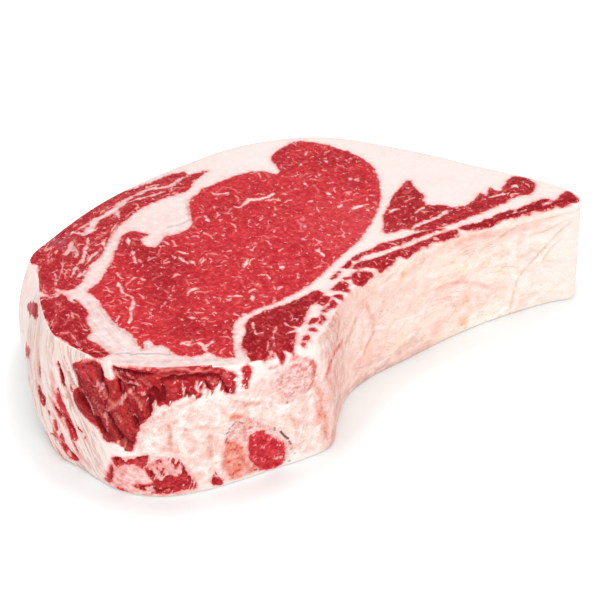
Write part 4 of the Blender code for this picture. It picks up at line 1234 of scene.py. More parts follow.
def wall_push(u, z, fields):
    """How far the wall stands out from the plain slab, in millimetres."""
    zero = z * 0
    left = step(279.0, 290.0, u) * (1.0 - step(326.0, 334.0, u))
    front = step(326.0, 334.0, u) * step(426.0, 416.0, u)
    rib = step(420.0, 432.0, u)
    back = 1.0 - np.clip(left + front + rib, 0.0, 1.0)
    ridge = fields["ridge"]
    lean = step(-0.4, 0.8, fields["lean"]) * (1.0 - fields["spongy"])
    push = left * (0.75 * ridge - 0.35 * lean + 0.5 * noise(u, z, zero, 14.0, 12) + 0.5 * noise(u, z * 0.8, zero, 4.2, 14, 2))
    push = push + back * 0.6 * noise(u, z, zero, 26.0, 13, 2)
    push = push + rib * (0.85 * ridge - 0.5 * fields["fold"])
    push = push + front * (lean * (0.9 * ridge - 0.45) + fields["bony"] * (0.85 * ridge - 0.8) + 0.5 * noise(u, z, zero, 12.0, 23))
    lobe = np.array(LOBE)
    return push + 1.4 * step(-1.2, 1.8, inside_depth(np.c_[u, z], rounded(lobe, closed=True, rounds=2)))


# Small tan spots (the first four) and grey ones on the rib's face: u, z, radius, how much.
RIB_SPOTS = (
    (480.3, 46.4, 2.6, 0.55),
    (511.9, 17.2, 2.6, 0.55),
    (511.9, 6.7, 2.4, 0.55),
    (512.1, 3.3, 2.0, 0.4),
    (490.4, 7.6, 2.2, 0.3),
    (490.0, 4.2, 2.6, 0.35),
)

# The raised flap of lean in front, under its pale rim.
LOBE = ((340.9, 41.0), (344.9, 45.6), (348.0, 50.5), (351.2, 50.9), (354.4, 47.0), (354.0, 40.0), (351.5, 34.0),
        (347.0, 27.0), (342.0, 31.0))


# ---------------------------------------------------------------- the mesh of lean and fat

grid, facing, columns, length = wall_grid()
rows_n, cols_n = grid.shape[:2]
u_all = np.broadcast_to(columns, (rows_n, cols_n)).ravel()
flat_grid = grid.reshape(-1, 3).copy()
# Up to half way round the softened top edge a place belongs to the wall, and from there to the top.
on_wall = np.repeat(np.arange(rows_n) < FOOT_ROWS + WALL_ROWS + HEAD_ROWS // 2, cols_n)
lip = FOOT_ROWS + WALL_ROWS + HEAD_ROWS // 2
LIP_LEAN = top_fields(grid[lip][:, :2])["lean"]
LIP_HEIGHT = grid[lip][:, 2]
# In the front the lean reaches over the softened edge.
reaching = (u_all > 347.0) & (u_all < 377.0)
on_wall |= reaching & np.repeat(np.arange(rows_n) < FOOT_ROWS + WALL_ROWS + HEAD_ROWS // 2 + 2, cols_n)

ring_top = grid[-1][:, :2]
ring_base = grid[0][:, :2]
top_inner = cap_points(ring_top, TOP_LATTICE, feature_points())
base_inner = cap_points(ring_base, BASE_LATTICE, None)
top_faces = triangles(ring_top, top_inner)
base_faces = triangles(ring_base, base_inner)

wall_count = rows_n * cols_n
top_start, base_start = wall_count, wall_count + len(top_inner)
total = base_start + len(base_inner)

plan = np.vstack([flat_grid[:, :2], top_inner, base_inner])
u_z = np.zeros((total, 2))
u_z[:wall_count] = np.c_[u_all, flat_grid[:, 2]]
kind = np.r_[np.where(on_wall, 0, 1), np.ones(len(top_inner), int), np.full(len(base_inner), 2)]

fields = blank(total)
for part, values in (
    (kind == 0, lambda m: wall_fields(u_z[m, 0], u_z[m, 1], length)),
    (kind == 1, lambda m: top_fields(plan[m])),
    (
        kind == 2,
        # The lower cut was made through the same muscles, a little further along.
        lambda m: top_fields(
            plan[m] * 0.985
            + np.c_[
                2.6 * noise(plan[m, 0], plan[m, 1], plan[m, 0] * 0, 34.0, 41),
                2.6 * noise(plan[m, 0], plan[m, 1], plan[m, 0] * 0, 34.0, 42),
            ]
        ),
    ),
):
    got = values(part)
    for name in FIELDS:
        fields[name][part] = got[name]

places = np.zeros((total, 3))
places[:wall_count] = flat_grid
push = wall_push(u_all, flat_grid[:, 2], {n: fields[n][:wall_count] for n in FIELDS})
rise = np.repeat(np.arange(rows_n), cols_n)
fade = step(0.0, FOOT_ROWS + 3.0, rise) * step(rows_n - 1.0, rows_n - 1.0 - HEAD_ROWS - 2.0, rise)
places[:wall_count] += facing.reshape(-1, 3) * (push * fade)[:, None]
places[top_start:base_start, :2] = top_inner
depth = inside_depth(top_inner, ring_top, reach=6.0)
relief = (
    0.22 * noise(top_inner[:, 0], top_inner[:, 1], depth * 0, 9.0, 51, 2)
    + 0.16 * noise(top_inner[:, 0], top_inner[:, 1], depth * 0, 2.6, 52, 2)
    + 0.22 * step(-0.6, 1.4, fields["lean"][top_start:base_start])
)
places[top_start:base_start, 2] = top_height(top_inner[:, 0], top_inner[:, 1]) + relief * step(0.0, 5.0, depth)
places[base_start:, :2] = base_inner

quads = []
index = np.arange(wall_count).reshape(rows_n, cols_n)
right = np.roll(index, -1, axis=1)
quads = np.stack([index[:-1], right[:-1], right[1:], index[1:]], axis=-1).reshape(-1, 4)
quad_kind = np.repeat(np.arange(rows_n - 1) < FOOT_ROWS + WALL_ROWS + HEAD_ROWS // 2, cols_n)

top_ids = np.r_[index[-1], top_start + np.arange(len(top_inner))]
base_ids = np.r_[index[0], base_start + np.arange(len(base_inner))]
faces_top = top_ids[top_faces]
faces_base = base_ids[base_faces][:, ::-1]


def mesh_of(name, points, parts):
    """A mesh from places in millimetres and arrays of faces."""
    mesh = bpy.data.meshes.new(name)
    corners = np.concatenate([f.ravel() for f in parts])
    sizes = np.concatenate([np.full(len(f), f.shape[1]) for f in parts])
    mesh.vertices.add(len(points))
    mesh.loops.add(len(corners))
    mesh.polygons.add(len(sizes))
    metres = (points - np.array([SHIFT_X, SHIFT_Y, 0.0])) * MM
    mesh.vertices.foreach_set("co", metres.astype(np.float32).ravel())
    mesh.loops.foreach_set("vertex_index", corners.astype(np.int32))
    starts = np.r_[0, np.cumsum(sizes)[:-1]]
    mesh.polygons.foreach_set("loop_start", starts.astype(np.int32))
    mesh.polygons.foreach_set("use_smooth", np.ones(len(sizes), bool))
    mesh.update(calc_edges=True)
    mesh.validate()
    return mesh


def write_fields(mesh, made):
    for name in FIELDS:
        attribute = mesh.attributes.new(name, "FLOAT", "POINT")
        attribute.data.foreach_set("value", made[name].astype(np.float32))


steak = bpy.data.collections.new("raw_rib_steak_look")
bpy.context.scene.collection.children.link(steak)

skin = mesh_of("steak_flesh", places, [quads, faces_top, faces_base])
write_fields(skin, fields)
flesh = bpy.data.objects.new("steak_flesh", skin)
steak.objects.link(flesh)

# Chart: the corner places in millimetres, in plan on the cut faces and (u, z) on the wall, for patterns that lie in
# the surface. Unwrap: the same laid out on one square sheet.
face_kind = np.r_[np.where(quad_kind, 0, 1), np.ones(len(faces_top), int), np.full(len(faces_base), 2)]
corner_ids = np.concatenate([f.ravel() for f in (quads, faces_top, faces_base)])
corner_kind = np.concatenate(
    [np.repeat(face_kind[: len(quads)], 4), np.repeat(face_kind[len(quads) :], 3)]
)
corner_u = u_z[:, 0][corner_ids].copy()
last_column = np.tile(np.array([0, 1, 1, 0], bool), len(quads))
wraps = np.zeros(len(corner_ids), bool)
wraps[: 4 * len(quads)] = last_column & (corner_ids[: 4 * len(quads)] % cols_n == 0)
corner_u[wraps] = length
corner_z = places[:, 2][corner_ids]
corner_xy = plan[corner_ids]
chart = np.where(
    (corner_kind == 0)[:, None], np.c_[corner_u + 500.0, corner_z], np.where((corner_kind == 2)[:, None], corner_xy + [0.0, 900.0], corner_xy)
)
chart = np.c_[chart, np.zeros(len(chart))]
attribute = skin.attributes.new("chart", "FLOAT_VECTOR", "CORNER")
attribute.data.foreach_set("vector", chart.astype(np.float32).ravel())

grain = np.where(
    (corner_kind == 0)[:, None],
    # Over the wall the fibres stand nearly upright, leaning a little.
    np.c_[corner_z, corner_u + 0.33 * corner_z + 500.0],
    fibre_chart(plan)[corner_ids] + np.where(corner_kind == 2, 1700.0, 0.0)[:, None],
)
# Only in the lean right of the flap do they lie level.
face_u, face_lean = u_all[quads].mean(axis=1), fields["lean"][quads].min(axis=1)
lying = np.zeros(len(corner_ids), bool)
lying[: 4 * len(quads)] = np.repeat(quad_kind & (face_u > 353.0) & (face_u < 382.0) & (face_lean > 1.2), 4)
grain[lying] = np.c_[corner_u[lying] + 40.0, corner_z[lying] + 900.0]
attribute = skin.attributes.new("grain", "FLOAT_VECTOR", "CORNER")
attribute.data.foreach_set("vector", np.c_[grain, np.zeros(len(grain))].astype(np.float32).ravel())

SHEET = 1024.0
low = ring_base.min(axis=0) - 6.0
uv = np.zeros((len(corner_ids), 2))
is_top, is_base, is_wall = corner_kind == 1, corner_kind == 2, corner_kind == 0
uv[is_top] = (corner_xy[is_top] - low) * 2.95 + 4.0
uv[is_base] = np.c_[(corner_xy[is_base, 1] - low[1]) * 1.85 + 694.0, (corner_xy[is_base, 0] - low[0]) * 1.85 + 4.0]
face_start = np.repeat(corner_u[: 4 * len(quads)].reshape(-1, 4).min(axis=1), 4)
behind = np.zeros(len(corner_ids), bool)
behind[: 4 * len(quads)] = is_wall[: 4 * len(quads)] & (face_start < 269.0)
ahead = is_wall & ~behind
uv[ahead] = np.c_[(corner_u[ahead] - 268.0) * 3.38 + 8.0, corner_z[ahead] * 3.38 + 535.0]
uv[behind] = np.c_[corner_u[behind] * 3.38 + 8.0, corner_z[behind] * 3.38 + 775.0]
layer = skin.uv_layers.new(name="OFBake")
layer.data.foreach_set("uv", (uv / SHEET).astype(np.float32).ravel())
print("flesh", len(skin.vertices), "places,", 2 * len(quads) + len(faces_top) + len(faces_base), "triangles")
print("sheet", uv.min(axis=0), uv.max(axis=0))

# ---------------------------------------------------------------- the bone

source = bpy.data.objects["rib_bone"]
rough = bpy.data.objects.new("bone_rough", source.data.copy())
steak.objects.link(rough)
even = rough.modifiers.new("Even", "REMESH")
even.mode = "VOXEL"
even.voxel_size = 0.0007
bpy.context.view_layer.update()
made = bpy.data.meshes.new_from_object(rough.evaluated_get(bpy.context.evaluated_depsgraph_get()))
bpy.data.objects.remove(rough)
bone_points = np.empty(len(made.vertices) * 3, np.float32)
made.vertices.foreach_get("co", bone_points)
bone_points = bone_points.reshape(-1, 3).astype(float) / MM + np.array([SHIFT_X, SHIFT_Y, 0.0])

tree = kdtree.KDTree(total)
for i, p in enumerate(places):
    tree.insert(p, i)
tree.balance()
normals = np.empty(total * 3, np.float32)
skin.vertices.foreach_get("normal", normals)
normals = normals.reshape(-1, 3).astype(float)
bone_normals = np.empty(len(made.vertices) * 3, np.float32)
made.vertices.foreach_get("normal", bone_normals)
bone_normals = bone_normals.reshape(-1, 3).astype(float)
bone_fields = blank(len(bone_points))
plain = noise(bone_points[:, 0], bone_points[:, 1], bone_points[:, 2], 9.0, 61, 2)
bone_fields["cream"][:] = 0.8
bone_fields["blush"][:] = 0.12 + 0.15 * np.clip(plain, 0, 1)
for i, p in enumerate(bone_points):
    where, at, gap = tree.find(p)
    if gap > 2.6:
        continue
    n = normals[at]
    under = float(np.dot(places[at] - p, n))
    if under > 1.4:
        continue
    share = 1.0 if under < 0.9 else (1.4 - under) / 0.5
    level = float(np.dot(bone_normals[i], n))
    proud = -0.45 + 0.6 * float(step(0.86, 0.985, level))
    bone_points[i] = p + n * (under + proud) * share
    for name in FIELDS:
        bone_fields[name][i] = fields[name][at]
made.vertices.foreach_set(
    "co", ((bone_points - np.array([SHIFT_X, SHIFT_Y, 0.0])) * MM).astype(np.float32).ravel()
)
made.update()
made.name = "steak_bone"
made.materials.clear()
for face in made.polygons:
    face.use_smooth = True
write_fields(made, bone_fields)
bone_corners = np.empty(len(made.loops), np.int32)
made.loops.foreach_get("vertex_index", bone_corners)
attribute = made.attributes.new("chart", "FLOAT_VECTOR", "CORNER")
attribute.data.foreach_set(
    "vector", np.c_[bone_points[:, 0] + bone_points[:, 1] + 300.0, bone_points[:, 2], bone_points[:, 0] * 0][bone_corners].astype(np.float32).ravel()
)
attribute = made.attributes.new("grain", "FLOAT_VECTOR", "CORNER")
attribute.data.foreach_set(
    "vector", np.c_[bone_points[:, 2], bone_points[:, 0] + bone_points[:, 1] + 300.0, bone_points[:, 0] * 0][bone_corners].astype(np.float32).ravel()
)
bone = bpy.data.objects.new("steak_bone", made)
steak.objects.link(bone)
print("bone", len(made.vertices), "places")

# ---------------------------------------------------------------- materials


def colour(r, g, b):
    """Shader colour of a screen colour given from 0 to 255."""
    return tuple((c / 255 / 12.92 if c <= 10 else ((c / 255 + 0.055) / 1.055) ** 2.4) for c in (r, g, b)) + (1.0,)


class Graph:
    """Short names for the nodes of one material."""

    def __init__(self, name):
        self.made = bpy.data.materials.new(name)
        self.made.use_nodes = True
        self.tree = self.made.node_tree
        self.shader = self.tree.nodes["Principled BSDF"]
        self.column = 0

    def add(self, kind, inputs=(), **settings):
        node = self.tree.nodes.new(kind)
        self.column += 1
        node.location = (-200 * (self.column % 12) - 300, -180 * (self.column // 12))
        for key, value in settings.items():
            setattr(node, key, value)
        for key, value in dict(inputs).items():
            self.plug(node.inputs[key], value)
        return node

    def plug(self, socket, value):
        if isinstance(value, bpy.types.NodeSocket):
            self.tree.links.new(value, socket)
        else:
            socket.default_value = value

    def math(self, operation, a, b=0.0, c=0.0, clamp=False):
        node = self.add("ShaderNodeMath", operation=operation, use_clamp=clamp)
        for socket, value in zip(node.inputs, (a, b, c)):
            self.plug(socket, value)
        return node.outputs[0]

    def add_all(self, *values):
        total_value = values[0]
        for value in values[1:]:
            total_value = self.math("ADD", total_value, value)
        return total_value

    def times(self, a, b):
        return self.math("MULTIPLY", a, b)

    def eased(self, value, low, high, out_low=0.0, out_high=1.0):
        node = self.add(
            "ShaderNodeMapRange",
            {"Value": value, "From Min": low, "From Max": high, "To Min": out_low, "To Max": out_high},
            interpolation_type="SMOOTHSTEP",
        )
        return node.outputs["Result"]

    def mix(self, share, a, b, blend="MIX"):
        node = self.add("ShaderNodeMix", data_type="RGBA", blend_type=blend, clamp_factor=True)
        self.plug(node.inputs["Factor"], share)
        self.plug([s for s in node.inputs if s.name == "A" and s.type == "RGBA"][0], a)
        self.plug([s for s in node.inputs if s.name == "B" and s.type == "RGBA"][0], b)
        return [s for s in node.outputs if s.type == "RGBA"][0]

    def field(self, name):
        return self.add("ShaderNodeAttribute", attribute_name=name).outputs["Fac"]

    def vector(self, operation, a, b=(0.0, 0.0, 0.0), scale=None):
        node = self.add("ShaderNodeVectorMath", operation=operation)
        self.plug(node.inputs[0], a)
        if scale is None:
            self.plug(node.inputs[1], b)
        else:
            self.plug(node.inputs["Scale"], scale)
        return node.outputs[1 if operation in ("LENGTH", "DISTANCE", "DOT_PRODUCT") else 0]

    def cloud(self, where, size, detail=2.0, rough=0.5, bend=0.0, centre=True):
        """Noise with lumps of the given size in millimetres: -1 to 1, or 0 to 1 when not centred."""
        node = self.add(
            "ShaderNodeTexNoise",
            {"Vector": where, "Scale": 1.0 / size, "Detail": detail, "Roughness": rough, "Distortion": bend},
        )
        value = node.outputs["Fac"]
        return self.math("MULTIPLY_ADD", value, 3.2, -1.6) if centre else value

    def stretched(self, where, scales):
        return self.vector("MULTIPLY", where, scales)

    def flecks(self, where, cell, reach, width, chance, bend, shift):
        """Short curved threads, at most one in each cell: 1 on a thread, 0 off it."""
        wobble = self.add(
            "ShaderNodeTexNoise", {"Vector": where, "Scale": 0.9 / cell, "Detail": 2.0, "Roughness": 0.6}
        ).outputs["Color"]
        wobble = self.vector("SUBTRACT", wobble, (0.5, 0.5, 0.5))
        warped = self.vector("ADD", where, self.vector("SCALE", wobble, scale=bend * 2.2))
        spread = self.vector("ADD", self.vector("SCALE", warped, scale=1.0 / cell), (shift, shift * 0.37, 0.0))
        cells = self.add(
            "ShaderNodeTexVoronoi", {"Vector": spread, "Scale": 1.0, "Randomness": 0.95}, voronoi_dimensions="2D"
        )
        local = self.vector("SUBTRACT", spread, cells.outputs["Position"])
        chance_split = self.add("ShaderNodeSeparateColor", {"Color": cells.outputs["Color"]})
        r1, r2, r3 = (chance_split.outputs[k] for k in range(3))
        turned = self.add(
            "ShaderNodeVectorRotate",
            {"Vector": local, "Angle": self.times(r1, 6.283)},
            rotation_type="Z_AXIS",
        ).outputs[0]
        split = self.add("ShaderNodeSeparateXYZ", {"Vector": turned})
        along, across = split.outputs[0], split.outputs[1]
        bow = self.times(self.math("SUBTRACT", r2, 0.5), 1.6 / max(reach / cell, 0.05) * 0.5)
        across = self.math("SUBTRACT", across, self.times(bow, self.times(along, along)))
        span = self.times(self.math("MULTIPLY_ADD", r3, 0.7, 0.4), reach / cell)
        past = self.math("MAXIMUM", self.math("SUBTRACT", self.math("ABSOLUTE", along), span), 0.0)
        away = self.math(
            "SQRT", self.math("ADD", self.times(past, past), self.times(across, across))
        )
        thread = self.eased(away, width / cell * 1.9, width / cell * 0.2)
        pick = self.math("FRACT", self.add_all(self.times(r1, 7.13), self.times(r2, 3.71)))
        strength = self.math("MULTIPLY_ADD", self.math("FRACT", self.times(r3, 9.7)), 0.6, 0.4)
        return self.times(self.times(thread, strength), self.math("LESS_THAN", pick, chance))


def wall_point(u, z):
    """Where a place on the wall lies, in the steak's own millimetres."""
    away = np.hypot(u_z[:wall_count, 0] - u, u_z[:wall_count, 1] - z)
    near = np.argsort(away, kind="stable")[:4]
    share = 1.0 / (away[near] + 0.05)
    at = (places[near] * share[:, None]).sum(axis=0) / share.sum()
    return np.array((at[0] - SHIFT_X, at[1] - SHIFT_Y, at[2]))


def flesh_material(name):
    g = Graph(name)
    chart_at = g.add("ShaderNodeAttribute", attribute_name="chart").outputs["Vector"]
    grain_at = g.add("ShaderNodeAttribute", attribute_name="grain").outputs["Vector"]
    body = g.add("ShaderNodeTexCoord").outputs["Object"]
    body = g.vector("SCALE", body, scale=1000.0)
    lean, deep, bony, cream = (g.field(n) for n in ("lean", "deep", "bony", "cream"))
    blush, stain_and_shade, fold, spongy = (g.field(n) for n in ("blush", "stain_and_shade", "fold", "spongy"))
    streaky, warm, ridge, gleam = (g.field(n) for n in ("streaky", "warm", "ridge", "gleam"))
    jumble, spiky = g.field("jumble"), g.field("spiky")

    # Where the lean ends: the drawn border, frayed, and drawn out into spikes where tendon meets lean.
    mid = g.cloud(body, 2.6, 2.0)
    lump = g.cloud(body, 2.2, 3.0, 0.55)
    fine = g.cloud(body, 0.55, 2.0, 0.6)
    spikes = g.cloud(g.stretched(grain_at, (0.2, 1.0, 1.0)), 1.6, 3.0, 0.6)
    fray = g.add_all(lean, g.times(mid, 0.5), g.times(lump, 0.42), g.times(fine, 0.14))
    fray = g.math("MULTIPLY_ADD", spikes, g.math("MULTIPLY_ADD", bony, 1.2, g.times(streaky, 0.6)), fray)
    fray = g.math("MULTIPLY_ADD", g.cloud(body, 1.7, 1.0, 0.5), 0.3, fray)
    # Sharp white spikes that stand up into the lean, leaning a little to the right.
    apart = g.add("ShaderNodeSeparateXYZ", {"Vector": chart_at})
    across = g.math("MULTIPLY_ADD", apart.outputs[1], -0.4, apart.outputs[0])
    upright = g.add("ShaderNodeCombineXYZ", {"X": across, "Y": g.times(apart.outputs[1], 0.16)}).outputs[0]
    comb = g.math("ABSOLUTE", g.cloud(upright, 3.4, 2.0, 0.45, bend=0.3))
    comb = g.times(g.eased(comb, 0.20, 0.0), g.eased(g.cloud(chart_at, 3.4, 1.0, 0.5), -0.2, 0.7, 0.05, 1.0))
    fray = g.math("MULTIPLY_ADD", g.times(comb, spiky), -4.6, fray)
    lean_share = g.eased(fray, -0.32, 0.32)

    # Lean: two reds in soft blotches and fine fibres. Its lumps are lighter on top and darker in the gaps, and the
    # creases of the relief darker too: partly the muscle's own mottling, partly painted highlight and shade that follow
    # the bump relief.
    blotch = g.cloud(body, 7.0, 3.0, 0.55)
    fibres = g.cloud(g.stretched(grain_at, (0.24, 1.0, 1.0)), 0.8, 3.0, 0.62, bend=0.5)
    depth = g.math("MULTIPLY_ADD", blotch, 0.26, deep)
    depth = g.math("MULTIPLY_ADD", lump, -0.12, depth)
    depth = g.math("MULTIPLY_ADD", ridge, -0.3, depth)
    depth = g.math("ADD", depth, 0.1, clamp=True)
    red = g.mix(depth, colour(210, 45, 55), colour(142, 2, 18))
    red = g.mix(g.eased(deep, 0.0, -0.3, 0.0, 0.24), red, colour(228, 92, 96))
    pebble = g.cloud(body, 1.7, 1.0, 0.5)
    light = g.math("MULTIPLY_ADD", deep, -0.75, 1.1)
    red = g.mix(g.times(light, g.eased(lump, 0.05, 0.8, 0.0, 0.38)), red, colour(230, 66, 70))
    red = g.mix(g.eased(pebble, -0.02, -0.6, 0.0, 0.42), red, colour(160, 8, 24))
    calm = g.times(light, g.math("MULTIPLY_ADD", spiky, -0.5, 1.0))
    red = g.mix(g.times(calm, g.eased(pebble, 0.1, 0.7, 0.0, 0.36)), red, colour(234, 86, 90))
    red = g.mix(g.times(g.eased(fibres, 0.0, 0.9), g.math("MULTIPLY_ADD", streaky, 0.35, 0.03)), red, colour(230, 92, 90))
    red = g.mix(g.times(g.eased(fibres, 0.0, -0.9), g.math("MULTIPLY_ADD", streaky, 0.35, 0.03)), red, colour(138, 2, 16))
    salt = g.eased(g.cloud(body, 1.1, 1.0, 0.5), 0.3, 0.8)
    red = g.mix(g.times(g.times(salt, calm), 0.22), red, colour(236, 112, 112))
    # Torn muscle: lumps of differing red with pink rims, and painted shade in the gaps between the lumps.
    shaken = g.vector("ADD", g.stretched(grain_at, (0.55, 1.0, 1.0)), g.vector("SCALE", g.vector("SUBTRACT", g.add(
        "ShaderNodeTexNoise", {"Vector": chart_at, "Scale": 0.4, "Detail": 3.0, "Roughness": 0.6}
    ).outputs["Color"], (0.5, 0.5, 0.5)), scale=5.0))
    lump_edge = g.add(
        "ShaderNodeTexVoronoi", {"Vector": shaken, "Scale": 1.0 / 4.4, "Randomness": 1.0},
        voronoi_dimensions="2D", feature="DISTANCE_TO_EDGE",
    ).outputs["Distance"]
    lump_kind = g.add(
        "ShaderNodeTexVoronoi", {"Vector": shaken, "Scale": 1.0 / 4.4, "Randomness": 1.0}, voronoi_dimensions="2D"
    ).outputs["Color"]
    kinds = g.add("ShaderNodeSeparateColor", {"Color": lump_kind})
    red = g.mix(g.times(jumble, g.eased(kinds.outputs[0], 0.45, 0.95, 0.0, 0.6)), red, colour(220, 62, 54))
    red = g.mix(g.times(jumble, g.eased(kinds.outputs[0], 0.5, 0.05, 0.0, 0.55)), red, colour(142, 2, 24))
    mottle = g.cloud(g.stretched(grain_at, (0.6, 1.0, 1.0)), 1.5, 3.0, 0.6, bend=0.6)
    red = g.mix(g.times(jumble, g.eased(mottle, 0.15, 0.8, 0.0, 0.56)), red, colour(224, 78, 72))
    red = g.mix(g.times(jumble, g.eased(mottle, -0.1, -0.75, 0.0, 0.6)), red, colour(128, 0, 22))
    rim = g.eased(g.math("ABSOLUTE", g.math("SUBTRACT", lump_edge, 0.13)), 0.07, 0.015)
    rim = g.times(g.times(rim, jumble), g.eased(kinds.outputs[1], 0.45, 0.6))
    red = g.mix(g.times(rim, 0.18), red, colour(232, 128, 118))
    # Painted shade in the gaps between the raised lumps.
    gap = g.times(jumble, g.eased(lump_edge, 0.1, 0.01))
    red = g.mix(g.times(gap, g.eased(kinds.outputs[2], 0.3, 0.6, 0.35, 0.9)), red, colour(116, 2, 14))

    # Threads of fat: broken pieces of a net between the bundles, in two sizes, and short curved flecks.
    drift = g.add("ShaderNodeTexNoise", {"Vector": chart_at, "Scale": 0.34, "Detail": 3.0, "Roughness": 0.65}).outputs["Color"]
    bent = g.vector("ADD", chart_at, g.vector("SCALE", drift, scale=5.0))

    def net(where, cell, half, shift):
        node = g.add(
            "ShaderNodeTexVoronoi",
            {"Vector": g.vector("ADD", where, (shift, shift * 1.7, 0.0)), "Scale": 1.0 / cell, "Randomness": 1.0},
            voronoi_dimensions="2D",
            feature="DISTANCE_TO_EDGE",
        )
        return g.eased(node.outputs["Distance"], 1.6 * half / cell, 0.3 * half / cell)

    coarse = g.times(net(bent, 4.6, 0.5, 3.0), g.eased(g.cloud(chart_at, 2.3, 2.0, 0.6), 0.1, 0.5))
    close = g.times(net(bent, 2.9, 0.36, 19.0), g.eased(g.cloud(chart_at, 2.0, 2.0, 0.6), 0.1, 0.5))
    threads = g.math("MAXIMUM", coarse, g.times(close, 0.5))
    threads = g.math("MAXIMUM", threads, g.times(g.flecks(chart_at, 3.6, 1.05, 0.4, 0.42, 1.6, 3.3), 0.85))
    threads = g.math("MAXIMUM", threads, g.flecks(chart_at, 6.4, 2.1, 0.52, 0.55, 3.4, 23.1))
    # Streaks that run with the fibres, where the muscle is streaky.
    run = g.cloud(g.stretched(grain_at, (0.22, 1.0, 1.0)), 3.4, 4.0, 0.6, bend=0.5)
    broken = g.cloud(g.stretched(grain_at, (0.4, 1.0, 1.0)), 5.0, 2.0, 0.5)
    crest = g.eased(g.math("ABSOLUTE", g.math("MULTIPLY_ADD", lump, 0.06, run)), 0.2, 0.03)
    crest = g.times(crest, g.eased(g.math("MULTIPLY_ADD", streaky, 0.75, broken), 0.62, 1.15))
    threads = g.math("MAXIMUM", threads, g.times(crest, 0.85))
    threads = g.times(threads, g.eased(lean, -0.1, 0.6))
    threads = g.times(threads, g.math("MULTIPLY_ADD", jumble, -0.55, 1.0))
    threads = g.times(threads, g.eased(deep, 0.6, 0.72, 1.0, 0.62))
    threads = g.times(threads, g.math("MULTIPLY_ADD", spongy, -0.9, 1.0))
    pale = g.mix(g.eased(threads, 0.4, 1.0), colour(238, 104, 106), colour(250, 184, 176))
    red = g.mix(g.times(threads, 0.9), red, pale)
    # Silvery skin.
    film = g.eased(g.cloud(g.stretched(grain_at, (0.25, 1.0, 1.0)), 2.6, 3.0, 0.6, bend=0.4), -0.3, 0.6)
    red = g.mix(g.times(g.times(fold, film), 0.5), red, colour(196, 150, 168))
    # Painted shade in the hollows and creases of the rough muscle, painted highlight on its crests, and painted wet
    # sheen along the gleams.
    gaps = g.cloud(g.stretched(grain_at, (0.4, 1.0, 1.0)), 2.1, 3.0, 0.6)
    hollow_shade = g.times(g.eased(g.math("MULTIPLY_ADD", ridge, -0.6, gaps), 0.15, 0.95), streaky)
    red = g.mix(g.times(hollow_shade, 0.5), red, colour(126, 0, 16))
    red = g.mix(g.times(g.eased(ridge, -0.15, -0.9), 0.8), red, colour(118, 2, 14))
    red = g.mix(g.times(g.eased(ridge, 0.45, 1.05), g.eased(lump, -0.5, 0.5, 0.2, 0.6)), red, colour(226, 96, 90))
    red = g.mix(g.times(gleam, g.eased(lump, -0.6, 0.3, 0.4, 0.9)), red, colour(242, 142, 130))

    # Fat: mauve white on the cut face, cream on the rib, both faintly mottled.
    haze = g.cloud(body, 10.0, 3.0, 0.55)
    white = g.mix(cream, colour(252, 240, 237), colour(249, 224, 211))
    white = g.mix(g.eased(haze, 0.0, 1.2, 0.0, 0.4), white, colour(238, 208, 204))
    white = g.mix(g.times(warm, g.eased(haze, 0.2, -0.8)), white, colour(252, 222, 194))
    white = g.mix(g.eased(lump, 0.2, 1.2, 0.0, 0.25), white, colour(234, 198, 192))
    white = g.mix(g.eased(mid, -0.1, -1.0, 0.0, 0.4), white, colour(255, 248, 244))
    # Thin lines that run with the fat of the cut face.
    lines = g.eased(g.math("ABSOLUTE", g.cloud(g.stretched(grain_at, (0.14, 1.0, 1.0)), 2.6, 3.0, 0.6, bend=0.3)), 0.14, 0.0)
    lines = g.times(g.times(lines, g.eased(g.cloud(body, 12.0, 2.0), -0.1, 0.7)), g.eased(cream, 0.26, 0.14))
    white = g.mix(g.times(lines, 0.3), white, colour(206, 150, 152))
    # Skin of the rib: soft clouds of pink and a few wandering wrinkles, whose darker tan lines are partly the skin's
    # tone and partly painted shade in the wrinkle.
    on_rib = g.eased(cream, 0.42, 0.66)
    veil = g.cloud(g.stretched(body, (0.6, 0.6, 1.0)), 9.0, 4.0, 0.6, bend=0.9)
    white = g.mix(g.times(g.eased(veil, -0.1, 0.7), g.times(on_rib, 0.72)), white, colour(240, 188, 176))
    white = g.mix(g.times(g.eased(veil, -0.1, -0.7), g.times(on_rib, 0.9)), white, colour(255, 248, 241))
    gauze = g.cloud(g.stretched(body, (1.0, 1.0, 1.3)), 3.2, 4.0, 0.6, bend=0.6)
    white = g.mix(g.times(g.eased(gauze, 0.05, 0.7), g.times(on_rib, 0.7)), white, colour(239, 192, 176))
    white = g.mix(g.times(g.eased(gauze, -0.1, -0.8), g.times(on_rib, 0.7)), white, colour(255, 246, 237))
    wrinkle = g.cloud(g.stretched(body, (0.5, 0.5, 1.3)), 13.0, 4.0, 0.6, bend=0.8)
    crease = g.eased(g.math("ABSOLUTE", wrinkle), 0.06, 0.0)
    crease = g.times(g.times(crease, on_rib), g.eased(g.cloud(body, 17.0, 2.0), 0.0, 0.6))
    white = g.mix(g.times(crease, 0.4), white, colour(222, 158, 140))
